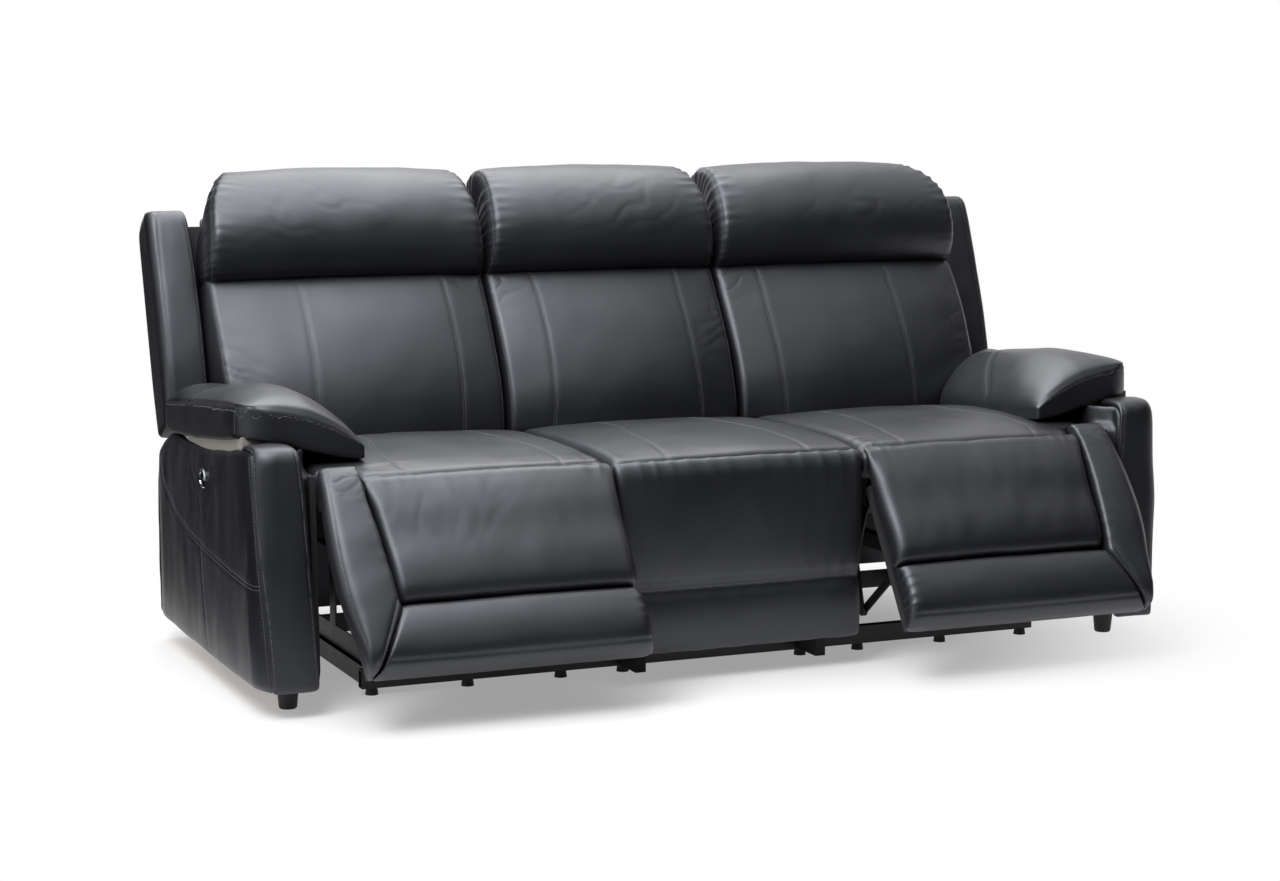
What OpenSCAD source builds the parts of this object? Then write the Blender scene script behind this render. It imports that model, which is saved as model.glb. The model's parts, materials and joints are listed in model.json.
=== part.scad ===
/* [Overall] */
// Width of the middle seat, from gap to gap
mid_seat_w = 596; // [520:5:680]
// Width of each end seat, from its gap to the arm
end_seat_w = 640; // [560:5:720]
// Width of each arm
arm_w = 137; // [125:1:170]
// Depth of the seats, from the front pivot to the back cushion
seat_d = 545; // [500:5:600]
// Clear gap between neighbouring soft parts
soft_gap = 6; // [4:0.5:9]

/* [Seats] */
// Height of the footrest pivot above the floor
pivot_h = 436; // [420:1:470]
// Radius of the seat nose that rolls over the pivot
nose_r = 50; // [44:1:56]
// Height of the underside of the seat cushions
seat_base_h = 402; // [398:1:410]
// Rise of the seat crown above the nose
seat_crown = 20; // [5:1:35]
// Width of the strip beside each end seat that the footrest edge fills
strip_w = 84; // [70:1:95]

/* [Footrest] */
// Angle of the footrest from the vertical, as it stands
rest_open = 33; // [20:1:45]
// Length of the footrest below its pivot
footrest_l = 404; // [360:2:412]
// Distance from the pivot to the seam between the two footrest pads
footrest_seam = 264; // [230:2:280]
// Height of the footrest padding above the pivot plane
footrest_pad_h = 86; // [76:1:92]
// Thickness of the footrest board
board_t = 18; // [15:1:22]

/* [Back] */
// Rake of the backs from the vertical
rake = 16.7; // [12:0.1:20]
// Length of the backs from the foot of the cover to the top of the pillow
back_l = 784; // [730:2:800]
// Distance up the back to the seam under the head pillow
pillow_seam = 516; // [490:2:540]
// Depth of the wings
wing_d = 102; // [90:1:112]
// Length of the wings up the back
wing_top = 690; // [650:5:700]
// Thickness of the back panel
panel_t = 24; // [18:1:28]
// Thickness of the rear cover
cover_t = 12; // [8:1:12]

/* [Arms] */
// Height of the arm boxes
arm_h = 500; // [485:1:510]
// Height of the front face of the arm
arm_face_h = 545; // [535:1:556]
// Depth of the arms from front to rear
arm_d = 883; // [860:1:900]
// Overhang of the arm front ahead of the pivot at the top
arm_front = 33; // [28:1:50]
// Lean of the arm front towards the floor
arm_lean = 25; // [0:1:30]
// Height of the underside of the arms
arm_clear = 52; // [45:1:60]
// Thickness of the padded arm cover
arm_cover_t = 23; // [18:1:26]
// Thickness of the inner arm board
arm_board_t = 12; // [9:1:15]
// Height of the arm pad at its crown
pad_top = 640; // [625:1:655]
// Reach of the arm pad over the seat
pad_reach = 246; // [215:1:250]

/* [Steelwork] */
// Distance of the inner mechanism from the middle of the sofa
inner_x = 363; // [350:1:375]
// Distance of the outer mechanism from the middle of the sofa
outer_x = 791; // [775:1:800]
// Thickness of the steel plates and links
plate_t = 4; // [3:0.5:5]
// Height of the rails
rail_h = 40; // [30:1:44]
// Width of the rails
rail_w = 25; // [20:1:30]
// Wall of the rails
rail_wall = 2; // [1.5:0.5:3]
// Height of the glides under the rails
glide_h = 15; // [10:1:16]
// Distance of the front rail behind the pivot
front_rail_y = 102; // [96:1:115]
// Distance of the rear rail behind the pivot
rear_rail_y = 690; // [680:1:700]
// Radius of the pivot pins
pin_r = 6; // [5:0.25:7]
// Running clearance of the pins
pin_gap = 0.06; // [0.03:0.01:0.09]
// Clearance of the pin that joins each lift link to its footrest bracket
open_pin_gap = 0.5; // [0.3:0.1:1]
// Gap between neighbouring steel layers
layer_gap = 2; // [1:0.25:2.5]
// Radius of the ears round the pins
ear_r = 13; // [11:0.5:14]
// Radius of the drive tube
tube_r = 13; // [11:0.5:15]

/* [Linkage] */
// Distance of the drive tube behind the footrest pivot
drive_y = 157; // [150:1:165]
// Height of the drive tube
drive_z = 316; // [312:1:319]
// Place of the lift pin along the footrest board
lift_a = 224; // [216:1:228]
// Distance of the lift pin behind the pivot plane
lift_p = 68; // [60:1:70]
// Length of the drive lever
lever_l = 70; // [64:1:74]
// Angle of the drive lever behind the vertical, as it stands
lever_back = 9.5; // [5:0.5:14]
// Distance of the back hinge behind the front pivot
hinge_y = 672; // [668:1:680]
// Height of the back hinge
hinge_z = 352; // [348:1:356]

/* [Timber] */
// Thickness of the seat side boards
seat_board_t = 24; // [18:1:26]
// Height of the seat boards
seat_board_h = 65; // [55:1:66]
// Thickness of the seat cross boards
cross_board_t = 20; // [18:1:24]
// Thickness of the arm battens
batten_t = 35; // [25:1:38]
// Distance of the middle seat panels from the middle
mid_panel_x = 217; // [200:1:230]

/* [Switches] */
// Radius of the switch bezel
bezel_r = 22; // [18:0.5:25]
// Distance of the switch behind the front pivot
switch_y = 379; // [340:1:420]
// Height of the switch
switch_z = 440; // [410:1:455]
// Travel of each button
button_travel = 2.5; // [1:0.25:3]

/* [Hidden] */
$fn = 48;

black_leather = "#26272b";
black_steel = "#1c1c1e";
lining = "#242528";
timber = "#b98f5e";

half_mid = mid_seat_w / 2;
arm_in = half_mid + end_seat_w;
half_w = arm_in + arm_w;
seat_out = arm_in - strip_w;
rail_top = glide_h + rail_h;
fit_gap = 0.3;
hinge = [hinge_y, hinge_z];
seat_mid = (inner_x + outer_x) / 2;
seat_rear = seat_d + 15;
board_top = seat_base_h - fit_gap;
board_low = board_top - seat_board_h;
plate_top = board_top - 15;
layer_1 = plate_t / 2 + layer_gap;
layer_2 = layer_1 + plate_t + layer_gap;
skirt_y = hinge_y + 92;
skirt_h = hinge_z - 52;
arm_rear = arm_d - arm_front;
back_foot = [hinge_y + 86, hinge_z - 52];
panel_v = cover_t + 8;
cover_u0 = -24;
face_p = 52;
strip_y = nose_r + 42;
wing_low = 180;
wing_rise = 35;
wing_x0 = arm_in + 48;
board_y0 = 62;
board_y1 = hinge_y - 38;

// Side view places: along the footrest board and ahead of its pivot, then up the back and ahead of it
function on_board(a, p) = [-a * sin(rest_open) - p * cos(rest_open),
    pivot_h - a * cos(rest_open) + p * sin(rest_open)];
function on_back(u, v) = back_foot + [u * sin(rake) - v * cos(rake), u * cos(rake) + v * sin(rake)];
function back_u(q) = (q - back_foot) * [sin(rake), cos(rake)];
function back_v(q) = (q - back_foot) * [-cos(rake), sin(rake)];

lift_pin = on_board(lift_a, -lift_p);
drive = [drive_y, drive_z];
crank_end = drive + lift_pin - [0, pivot_h];
lever_pin = drive + lever_l * [sin(lever_back), -cos(lever_back)];

module in_place() translate([0, y_shift, 0]) children();
module both_sides() { children(); mirror([1, 0, 0]) children(); }
module side(s) if (s > 0) children(); else mirror([1, 0, 0]) children();
// Board frame: x across, -y proud of the pivot plane, -z down the board
module at_board() in_place() translate([0, 0, pivot_h]) rotate([-rest_open, 0, 0]) children();
// Back frame: x across, -y ahead of the rear face, z up the back
module at_back() in_place() translate([0, back_foot[0], back_foot[1]]) rotate([-rake, 0, 0]) children();
// A plate from a side view outline, between two distances from the middle
module slab(x0, x1, outline) translate([x0, 0, 0]) rotate([90, 0, 90])
    linear_extrude(x1 - x0) polygon(outline);
module block(x0, x1, y0, y1, z0, z1) translate([x0, y0, z0]) cube([x1 - x0, y1 - y0, z1 - z0]);
// A round bar or bore along x at a side view place
module bar(x0, x1, q, r) translate([x0, q[0], q[1]]) rotate([0, 90, 0]) cylinder(r = r, h = x1 - x0);
// Layers of a mechanism, counted from its plate towards the middle of its seat
module layer(s0, s1, outline) {
    slab(inner_x + s0, inner_x + s1, outline);
    slab(outer_x - s1, outer_x - s0, outline);
}
module layer_bar(s0, s1, q, r) {
    bar(inner_x + s0, inner_x + s1, q, r);
    bar(outer_x - s1, outer_x - s0, q, r);
}
function arc(c, r, a0, a1, n) = [for (i = [0:n]) let (a = a0 + (a1 - a0) * i / n) c + r * [cos(a), sin(a)]];
// Outline of a flat bar between two side view places, w to each side of their line
function flat_bar(q0, q1, w) = let (along = (q1 - q0) / norm(q1 - q0), beside = w * [-along[1], along[0]])
    [q0 + beside, q1 + beside, q1 - beside, q0 - beside];

// Rings of points joined into one closed skin of triangles
module skin(rings) {
    n = len(rings);
    m = len(rings[0]);
    pts = [for (r = rings) for (q = r) q];
    first = [for (k = [0:2]) [for (q = rings[0]) q[k]] * [for (q = rings[0]) 1 / m]];
    last = [for (k = [0:2]) [for (q = rings[n - 1]) q[k]] * [for (q = rings[n - 1]) 1 / m]];
    polyhedron(concat(pts, [first, last]), concat(
        [for (i = [0:n - 2]) for (j = [0:m - 1]) [i * m + j, i * m + (j + 1) % m, (i + 1) * m + j]],
        [for (i = [0:n - 2]) for (j = [0:m - 1])
            [i * m + (j + 1) % m, (i + 1) * m + (j + 1) % m, (i + 1) * m + j]],
        [for (j = [0:m - 1]) [n * m, (j + 1) % m, j]],
        [for (j = [0:m - 1]) [n * m + 1, (n - 1) * m + j, (n - 1) * m + (j + 1) % m]]));
}
// Places across a pad, close together at its edges and beside its two sewn channels
function across(g) = [-1, -0.985, -0.93, -0.8, -g - 0.05, -g, 0.05 - g, -0.2, 0.2, g - 0.05, g, g + 0.05,
    0.8, 0.93, 0.985, 1];
function edge(t) = pow(max(0, 1 - pow(abs(t), 6)), 1 / 6);
// One ring of a pad: its two edges, its underside, its face, the crown and the sewn channels
function ring(x0, x1, low, high, crown, g = 0.62, sew = 0) =
    let (c = (x0 + x1) / 2, h = (x1 - x0) / 2)
    concat([for (t = across(g)) [c + h * t, low + (high - low + crown * (1 - t * t)) * edge(t)
        - (abs(abs(t) - g) < 0.001 ? sew : 0)]], [[c + h * 0.5, low - 0.01], [c - h * 0.5, low - 0.01]]);
function spread(a, b, t) = a + (b - a) * t;

// Steel base
module tube_x(x0, x1, y) difference() {
    block(x0, x1, y - rail_w / 2, y + rail_w / 2, glide_h, rail_top);
    block(x0 - 1, x1 + 1, y - rail_w / 2 + rail_wall, y + rail_w / 2 - rail_wall,
        glide_h + rail_wall, rail_top - rail_wall);
}
module cross_rails() color(black_steel) in_place() for (y = [front_rail_y, rear_rail_y])
    tube_x(-outer_x - rail_w, outer_x + rail_w, y);
module side_rails() color(black_steel) in_place() both_sides() for (x = [inner_x, outer_x]) difference() {
    block(x - rail_w / 2, x + rail_w / 2, front_rail_y + rail_w / 2, rear_rail_y - rail_w / 2,
        glide_h, rail_top);
    block(x - rail_w / 2 + rail_wall, x + rail_w / 2 - rail_wall, front_rail_y, rear_rail_y,
        glide_h + rail_wall, rail_top - rail_wall);
}
glide_r = 14;
module glides() color(black_steel) in_place() both_sides() {
    for (x = [mid_panel_x, inner_x, seat_mid, outer_x])
        translate([x, front_rail_y, 0]) cylinder(r1 = glide_r, r2 = glide_r - 2, h = glide_h);
    for (x = [inner_x, outer_x]) translate([x, rear_rail_y, 0])
        cylinder(r1 = glide_r, r2 = glide_r - 2, h = glide_h);
}
// Side plates carry the pivots: a horn at the footrest, an ear at the back hinge and two windows
horn = 15;
window_z = rail_top + 45;
window_y = drive_y + 200;
window_rib = 40;
head_r = pin_r + 3;
head_t = 3;
plate_y0 = front_rail_y + rail_w;
plate_y1 = rear_rail_y - rail_w;
module side_plates() color(black_steel) in_place() both_sides() {
    difference() {
        union() {
            layer(-plate_t / 2, plate_t / 2, [[plate_y0, rail_top], [plate_y1, rail_top],
                [plate_y1, hinge_z - 170], [hinge_y + ear_r + 3, hinge_z],
                [hinge_y - ear_r, hinge_z + ear_r], [hinge_y - 52, plate_top], [board_y0 - 2, plate_top],
                [horn - 3, pivot_h + 8], [3 - horn, pivot_h - 8], [drive_y - 95, drive_z],
                [drive_y - 60, drive_z - 90]]);
            layer_bar(-plate_t / 2, plate_t / 2, [0, pivot_h], horn);
            layer_bar(-plate_t / 2, plate_t / 2, hinge, ear_r + 4);
        }
        layer(-plate_t, plate_t, [[drive_y + 45, window_z], [window_y, window_z],
            [window_y, drive_z - 50], [drive_y + 95, drive_z - 30]]);
        layer(-plate_t, plate_t, [[window_y + window_rib, window_z], [plate_y1 - 60, window_z],
            [plate_y1 - 60, drive_z - 50], [window_y + window_rib, drive_z - 50]]);
        for (y = bolt_ys) layer_bar(-plate_t, plate_t, [y, bolt_z], bolt_r + fit_gap);
    }
    for (q = [[0, pivot_h], drive, hinge]) {
        layer_bar(plate_t / 2, layer_1 + plate_t + 1, q, pin_r);
        layer_bar(-plate_t / 2 - head_t, -plate_t / 2, q, head_r);
    }
    for (q = [[0, pivot_h], hinge]) layer_bar(layer_1 + plate_t + 0.6, layer_1 + plate_t + head_t, q, head_r);
}

// Timber seat boxes
bolt_r = 4;
bolt_head = 3;
bolt_z = (board_low + plate_top) / 2;
bolt_ys = [drive_y + 103, drive_y + 273, drive_y + 443];
module seat_side_boards() color(lining) in_place() both_sides() difference() {
    for (x = [inner_x - plate_t / 2 - seat_board_t, outer_x + plate_t / 2])
        block(x, x + seat_board_t, board_y0, board_y1, board_low, board_top);
    for (y = bolt_ys) bar(inner_x - 60, outer_x + 60, [y, bolt_z], bolt_r + fit_gap);
    for (q = [drive, hinge]) layer_bar(-plate_t / 2 - 4, 0, q, pin_r + 5);
}
cross_ys = [board_y0 + 40, board_y1 - 20];
cross_low = board_low + 5;
// Faces of the middle panels and of the side boards, from the middle out
mid_faces = [mid_panel_x - seat_board_t / 2, mid_panel_x + seat_board_t / 2];
side_faces = [inner_x - plate_t / 2 - seat_board_t, outer_x + plate_t / 2 + seat_board_t];
module cross_board(x0, x1, y, low) block(x0 + fit_gap, x1 - fit_gap, y, y + cross_board_t, low, board_top);
module seat_cross_boards() color(lining) in_place() for (y = cross_ys) {
    cross_board(-mid_faces[0], mid_faces[0], y, cross_low);
    both_sides() {
        cross_board(inner_x + plate_t / 2, outer_x - plate_t / 2, y, plate_top - 28);
        cross_board(side_faces[1], arm_in, y, cross_low);
        cross_board(mid_faces[1], side_faces[0], y, cross_low);
    }
}
mid_panel_u0 = -10;
panel_face = panel_v + panel_t + fit_gap;
module middle_side_panels() color(lining) in_place() both_sides() difference() {
    slab(mid_faces[0], mid_faces[1], [[fit_gap, glide_h + 2], [skirt_y - fit_gap, glide_h + 2],
        [skirt_y - fit_gap, skirt_h - 30], on_back(cover_u0 - 2, cover_t + fit_gap),
        on_back(mid_panel_u0 - fit_gap, panel_v), on_back(mid_panel_u0 - fit_gap, panel_face),
        on_back((board_top - on_back(0, panel_face)[1]) / cos(rake), panel_face),
        [strip_y / 2 + 2, board_top], [fit_gap, pivot_h - nose_r - fit_gap]]);
    for (y = [front_rail_y, rear_rail_y])
        block(0, inner_x, y - rail_w / 2 - fit_gap, y + rail_w / 2 + fit_gap, 0, rail_top);
}
// Sinuous springs: straight wires joined by half rings, strung from the front to the rear boards
wire_r = 2;
wave_w = 22;
wave_n = 10;
spring_pitch = (outer_x - inner_x) * 0.28;
spring_z = board_top - 10;
spring_y0 = cross_ys[0] + cross_board_t + fit_gap + wire_r;
wave_step = (cross_ys[1] - fit_gap - wire_r - spring_y0) / wave_n;
module spring(x) translate([x, spring_y0, spring_z]) linear_extrude(2 * wire_r) {
    for (k = [0:wave_n]) translate([-wave_w, k * wave_step - wire_r]) square([2 * wave_w, 2 * wire_r]);
    for (k = [0:wave_n - 1]) translate([k % 2 == 0 ? wave_w : -wave_w, (k + 0.5) * wave_step])
        rotate([0, 0, k % 2 == 0 ? 0 : 180]) difference() {
            circle(r = wave_step / 2 + wire_r, $fn = 32);
            circle(r = wave_step / 2 - wire_r, $fn = 32);
            translate([-wave_step, -wave_step]) square([wave_step, 2 * wave_step]);
        }
}
module seat_springs() color("#8d8f92") in_place() for (k = [-1:1]) {
    spring(k * mid_panel_x * 0.55);
    for (s = [-1, 1]) spring(s * seat_mid + k * spring_pitch);
}
// Bolts that hold the side plates to the seat boards
module frame_bolt() {
    translate([0, 0, -plate_t / 2]) cylinder(r = bolt_r, h = plate_t + seat_board_t);
    translate([0, 0, -plate_t / 2 - bolt_head]) cylinder(r = bolt_r * 1.7, h = bolt_head, $fn = 6);
    translate([0, 0, plate_t / 2 + seat_board_t]) cylinder(r = bolt_r * 2, h = bolt_r / 2);
}
module frame_bolts() color("#9a9ca0") in_place() both_sides() for (y = bolt_ys) {
    translate([inner_x, y, bolt_z]) rotate([0, -90, 0]) frame_bolt();
    translate([outer_x, y, bolt_z]) rotate([0, 90, 0]) frame_bolt();
}

// Arms
arm_face_y0 = -arm_front - arm_lean;
arm_curve = [[arm_rear, arm_clear + 10], [arm_rear, arm_h - 148], [arm_rear - 8, arm_h - 112],
    [arm_rear - 26, arm_h - 80], [arm_rear - 56, arm_h - 50], [arm_rear - 100, arm_h - 26],
    [arm_rear - 160, arm_h - 8], [arm_rear - 230, arm_h]];
function face_y(z) = -arm_front - arm_lean * (arm_face_h - z) / (arm_face_h - arm_clear);
function arm_outline(inset) = concat([[face_y(arm_clear) + inset, arm_clear + inset / 2],
    [arm_rear - inset - 10, arm_clear + inset / 2]],
    [for (q = arm_curve) [q[0] - inset, q[1] - inset * 0.6]],
    [[60, arm_h - inset * 0.6], [face_y(arm_h) + inset, arm_h - inset * 0.6]]);
batten_x0 = arm_in + arm_board_t;
batten_x1 = half_w - arm_cover_t;
arm_board_front = 36;
arm_board_drop = 13;
module arm_inner_boards() color(lining) in_place() both_sides() slab(arm_in, arm_in + arm_board_t,
    concat([[face_y(arm_clear) + arm_board_front + 28, batten_low],
    [face_y(arm_clear) + arm_board_front + 8, batten_low + 8],
    [face_y(arm_clear) + arm_board_front, batten_low + 28],
    [face_y(arm_h) + arm_board_front - 6, arm_h - arm_board_drop]],
    [for (i = [7:-1:1]) arm_curve[i] - [arm_board_drop + 1, arm_board_drop]],
    [[arm_rear - arm_board_drop - 1, batten_low]]));
batten_low = arm_clear + 8;
batten_top = arm_h - 16;
batten_y0 = face_y(arm_clear) + 2 * arm_board_front;
batten_y1 = arm_rear - 20;
module arm_battens() color(timber) in_place() both_sides() {
    z0 = batten_low + batten_t;
    block(batten_x0, batten_x1, batten_y0, batten_y0 + batten_t, z0 + fit_gap,
        batten_top - batten_t - fit_gap);
    block(batten_x0, batten_x1, batten_y1 - batten_t, batten_y1, z0 + fit_gap, arm_h - 160);
    block(batten_x0, batten_x1, batten_y0, batten_y1, batten_low, z0);
    block(batten_x0, batten_x1, batten_y0, arm_rear - 250, batten_top - batten_t, batten_top);
}
foot_h = batten_low;
foot_r = 26;
module arm_feet() color(black_steel) in_place() both_sides()
    for (y = [front_rail_y - 50, arm_rear - 80]) translate([(batten_x0 + batten_x1) / 2 - 14, y, 0])
        rotate_extrude() polygon([[0, 0], [foot_r - 9, 0], [foot_r - 7, 3], [foot_r - 2, foot_h - 8],
            [foot_r, foot_h - 5], [foot_r, foot_h], [0, foot_h]]);
// Padded cover: the outer side with its curved rear shoulder, and the leaning front face
face_t = 22;
face_turn = atan(arm_lean / (arm_face_h - arm_clear));
face_w = arm_w - 22;
face_in = half_w - 4 - face_w;
face_round = 40;
module arm_face() translate([face_in, -arm_front, arm_face_h]) rotate([-face_turn, 0, 0])
    rotate([90, 0, 0]) translate([0, 0, -face_t]) linear_extrude(face_t) polygon(concat(
        [[-12, arm_clear - arm_face_h], [face_w - 26, arm_clear - arm_face_h], [face_w, -arm_face_h / 2]],
        arc([face_w - face_round, -face_round], face_round, 0, 90, 6),
        arc([face_t, -face_t], face_t, 90, 180, 4)));
module arm_cover(s) color(black_leather) in_place() side(s) difference() {
    union() {
        slab(batten_x1, half_w - 6, arm_outline(0));
        slab(batten_x1, half_w, arm_outline(7));
        arm_face();
        slab(face_in + 4, half_w - 8, [[-24, batten_top], [-20, arm_face_h - 8], [30, arm_face_h - 3],
            [pad_y0 + 13, arm_face_h - 6], [pad_y0 + 13, batten_top]]);
    }
    bar(batten_x1 - 30, half_w + 1, [switch_y, switch_z], bezel_r - 5);
}
module left_arm_cover() arm_cover(-1);
module right_arm_cover() arm_cover(1);
// Arm pads droop inward over the seat and slope down to the wing
pad_y0 = front_rail_y - 36;
pad_y1 = on_back(wing_low + wing_rise, wing_d)[0] - soft_gap / 2;
pad_low = arm_h + 66;
pad_tip = half_w - pad_reach - 18;
function pad_under(t) = pad_low - 4 - 5 * t - 50 * t * t;
pad_ts = [0, 0.012, 0.04, 0.1, 0.22, 0.36, 0.5, 0.62, 0.7, 0.76, 0.82, 0.88, 0.94, 0.98, 1];
// How full the pad is, from nothing at its ends; then the reach and the underside of its inner tip
function pad_full(t) = pow(max(0, 1 - pow(abs(2 * t - 1), 9)), 1 / 4);
function tip_x(t) = t < 0.72 ? pad_tip + 22 * t + 14 * (1 - pad_full(t))
    : spread(pad_tip + 16, arm_in + 32, min(1, (t - 0.72) / 0.14));
function tip_z(t) = min(pad_under(t), arm_h + 8 + 20 * t * t);
pad_ridge = half_w - 85;
function pad_slope(t, k, rise) = [spread(tip_x(t), pad_ridge, k),
    spread(tip_z(t) + 20 + 16 * pad_full(t), pad_under(t) + 20 + (pad_top - pad_low - 10) * pad_full(t)
    * (1 + 0.35 * t), rise)];
function pad_ring(y) = let (t = (y - pad_y0) / (pad_y1 - pad_y0), e = pad_full(t), low = pad_under(t) + 4,
    top = low + 14 + 50 * e * (1 - 0.1 * t), crown = pad_slope(t, 1, 1)[1], tip = tip_x(t),
    tip_low = tip_z(t), thick = 20 + 16 * e)
    [for (q = [[half_w - 10, low], [half_w - 1, low + 14], [half_w, (low + top) / 2 + 4],
        [half_w - 5, top - 8], [half_w - 18, top], [half_w - 50, crown - 2], [pad_ridge, crown],
        pad_slope(t, 0.75, 0.86), pad_slope(t, 0.45, 0.6), pad_slope(t, 0.18, 0.26),
        [tip + 4, tip_low + thick * 0.75], [tip, tip_low + thick * 0.4], [tip + 6, tip_low + 3],
        [spread(tip, arm_in, 0.4), spread(tip_low, low - 4, 0.35)], [arm_in + 10, low - 4],
        [half_w - 40, low - 4]]) [q[0], y, q[1]]];
module arm_pad(s) color(black_leather) in_place() side(s)
    skin([for (t = pad_ts) pad_ring(spread(pad_y0, pad_y1, t))]);
module left_arm_pad() arm_pad(-1);
module right_arm_pad() arm_pad(1);
// Bare boards under the pads, that show as a pale edge above the arm side
base_ts = [for (k = [2:9]) pad_ts[k]];
module arm_base(x0, x1, low) slab(x0, x1, concat(
    [for (t = [base_ts[0], base_ts[7]]) [spread(pad_y0, pad_y1, t), low]],
    [for (k = [7:-1:0]) [spread(pad_y0, pad_y1, base_ts[k]), pad_under(base_ts[k]) - fit_gap]]));
module arm_pad_bases() color("#8f8c88") in_place() both_sides() {
    arm_base(arm_in + 18, batten_x1 - fit_gap, batten_top);
    arm_base(batten_x1 - 1, half_w - 12, arm_h + fit_gap);
}

// Seat cushions: a crowned pad whose nose rolls round the footrest pivot
rear_round = seat_rear - seat_d + 40;
function nose_half(y) = sqrt(max(0.01, nose_r * nose_r - y * y));
function seat_top(y) = y < 0 ? pivot_h + nose_half(y) : pivot_h + nose_r - 4 * pow(y / seat_d, 2)
    - 24 * pow(max(0, 1 - (seat_rear - y) / rear_round), 2);
function seat_low(y) = y < 0 ? pivot_h - nose_half(y) : spread(pivot_h - nose_r, seat_base_h, min(1, y / 40));
function seat_rise(y) = y < 0 ? 2 : seat_crown * pow(sin(180 * min(1, max(0, y / seat_d))), 0.7);
seat_ys = concat([for (k = [-1, -0.97, -0.86, -0.6, -0.3, 0]) nose_r * k],
    [strip_y * 0.2, strip_y * 0.5, strip_y - 1, strip_y + 3],
    [for (k = [0.3, 0.5, 0.72, 0.9, 0.97, 1]) seat_rear * k]);
function seat_ring(x0, x1, y, g) = [for (q = ring(x0, x1, seat_low(y), max(seat_low(y) + 1, seat_top(y) - 2),
    seat_rise(y), g, y > 5 ? 3 : 0)) [q[0], y, q[1]]];
// Beside an end seat the last two points of the ring reach out to the arm, behind the strip
strip_n = len(across(0.6)) - 2;
function strip_top(y) = pivot_h + nose_r - 22 - 26 * (y - strip_y) / (seat_rear - strip_y);
function end_ring(y) = let (r = seat_ring(half_mid + soft_gap / 2, seat_out - soft_gap / 2, y, 0.62))
    y < strip_y ? r : [for (k = [0:len(r) - 1]) k == strip_n ? [arm_in - 12, y, strip_top(y)]
    : k == strip_n + 1 ? [arm_in - 3, y, seat_base_h] : r[k]];
// Room round a pivot for the bracket that swings from hanging to reaching forward
module swing_room(x0, x1) {
    bar(x0, x1, [0, pivot_h], horn + 3);
    y0 = -nose_r - 9;
    z0 = pivot_h - nose_r - 9;
    z1 = pivot_h + ear_r + 2;
    slab(x0, x1, [[0, z1], [y0, z1], [y0, z0], [horn + 60, z0], [horn + 60, plate_top + 3],
        [horn + 8, pivot_h]]);
}
module end_seat(s) color(black_leather) in_place() side(s) difference() {
    skin([for (y = seat_ys) end_ring(y)]);
    swing_room(inner_x - plate_t / 2 - 3, inner_x + layer_2 + 3);
    swing_room(outer_x - layer_2 - 3, outer_x + plate_t / 2 + 3);
}
module left_seat_cushion() end_seat(-1);
module right_seat_cushion() end_seat(1);
module middle_seat_cushion() color(black_leather) in_place()
    skin([for (y = seat_ys) seat_ring(soft_gap / 2 - half_mid, half_mid - soft_gap / 2, y, 0.6)]);

// Middle front: a board and the padded cover over it, with a sewn channel across
front_low = 64;
channel_z = 203;
module middle_front_board() color(lining) in_place()
    block(-mid_faces[1], mid_faces[1], -board_t, 0, front_low + 6, pivot_h - nose_r - 6);
function front_face(z) = let (t = (pivot_h - nose_r * 0.2 - z) / (pivot_h - nose_r * 0.2 - front_low))
    30 + 18 * pow(sin(180 * min(1, t * 1.02)), 0.5) - 14 * exp(-pow((z - channel_z) / 12, 2));
front_zs = [for (t = [0, 0.01, 0.04, 0.12, 0.3, 0.5, 0.6, 0.63, 0.66, 0.7, 0.82, 0.95, 0.99, 1])
    spread(pivot_h - nose_r - 4, front_low, t)];
module middle_front_pad() color(black_leather) in_place() skin([for (z = front_zs)
    [for (q = ring(soft_gap / 2 - half_mid, half_mid - soft_gap / 2, board_t + fit_gap, front_face(z), 4))
        [q[0], -q[1], z]]]);

// Footrests
board_x0 = half_mid + 12;
board_x1 = arm_in - 36;
board_a0 = nose_r + 4;
trim_x1 = arm_in - 8;
bracket_bolts = [board_a0 + 24, lift_a + 80];
flange_bolt = 20;
module footrest_board(s) color(lining) at_board() side(s) difference() {
    union() {
        block(board_x0, board_x1, -board_t + 2, 2, -footrest_l + 8, -board_a0);
        block(seat_out + 4, board_x1, -board_t + 2, 2, -board_a0, 6 - horn);
    }
    for (x = [inner_x + layer_1 + flange_bolt, outer_x - layer_1 - flange_bolt], a = bracket_bolts)
        translate([x, 0, -a]) rotate([90, 0, 0]) cylinder(r = bolt_r, h = board_t * 3, center = true);
}
module left_footrest_board() footrest_board(-1);
module right_footrest_board() footrest_board(1);
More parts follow.
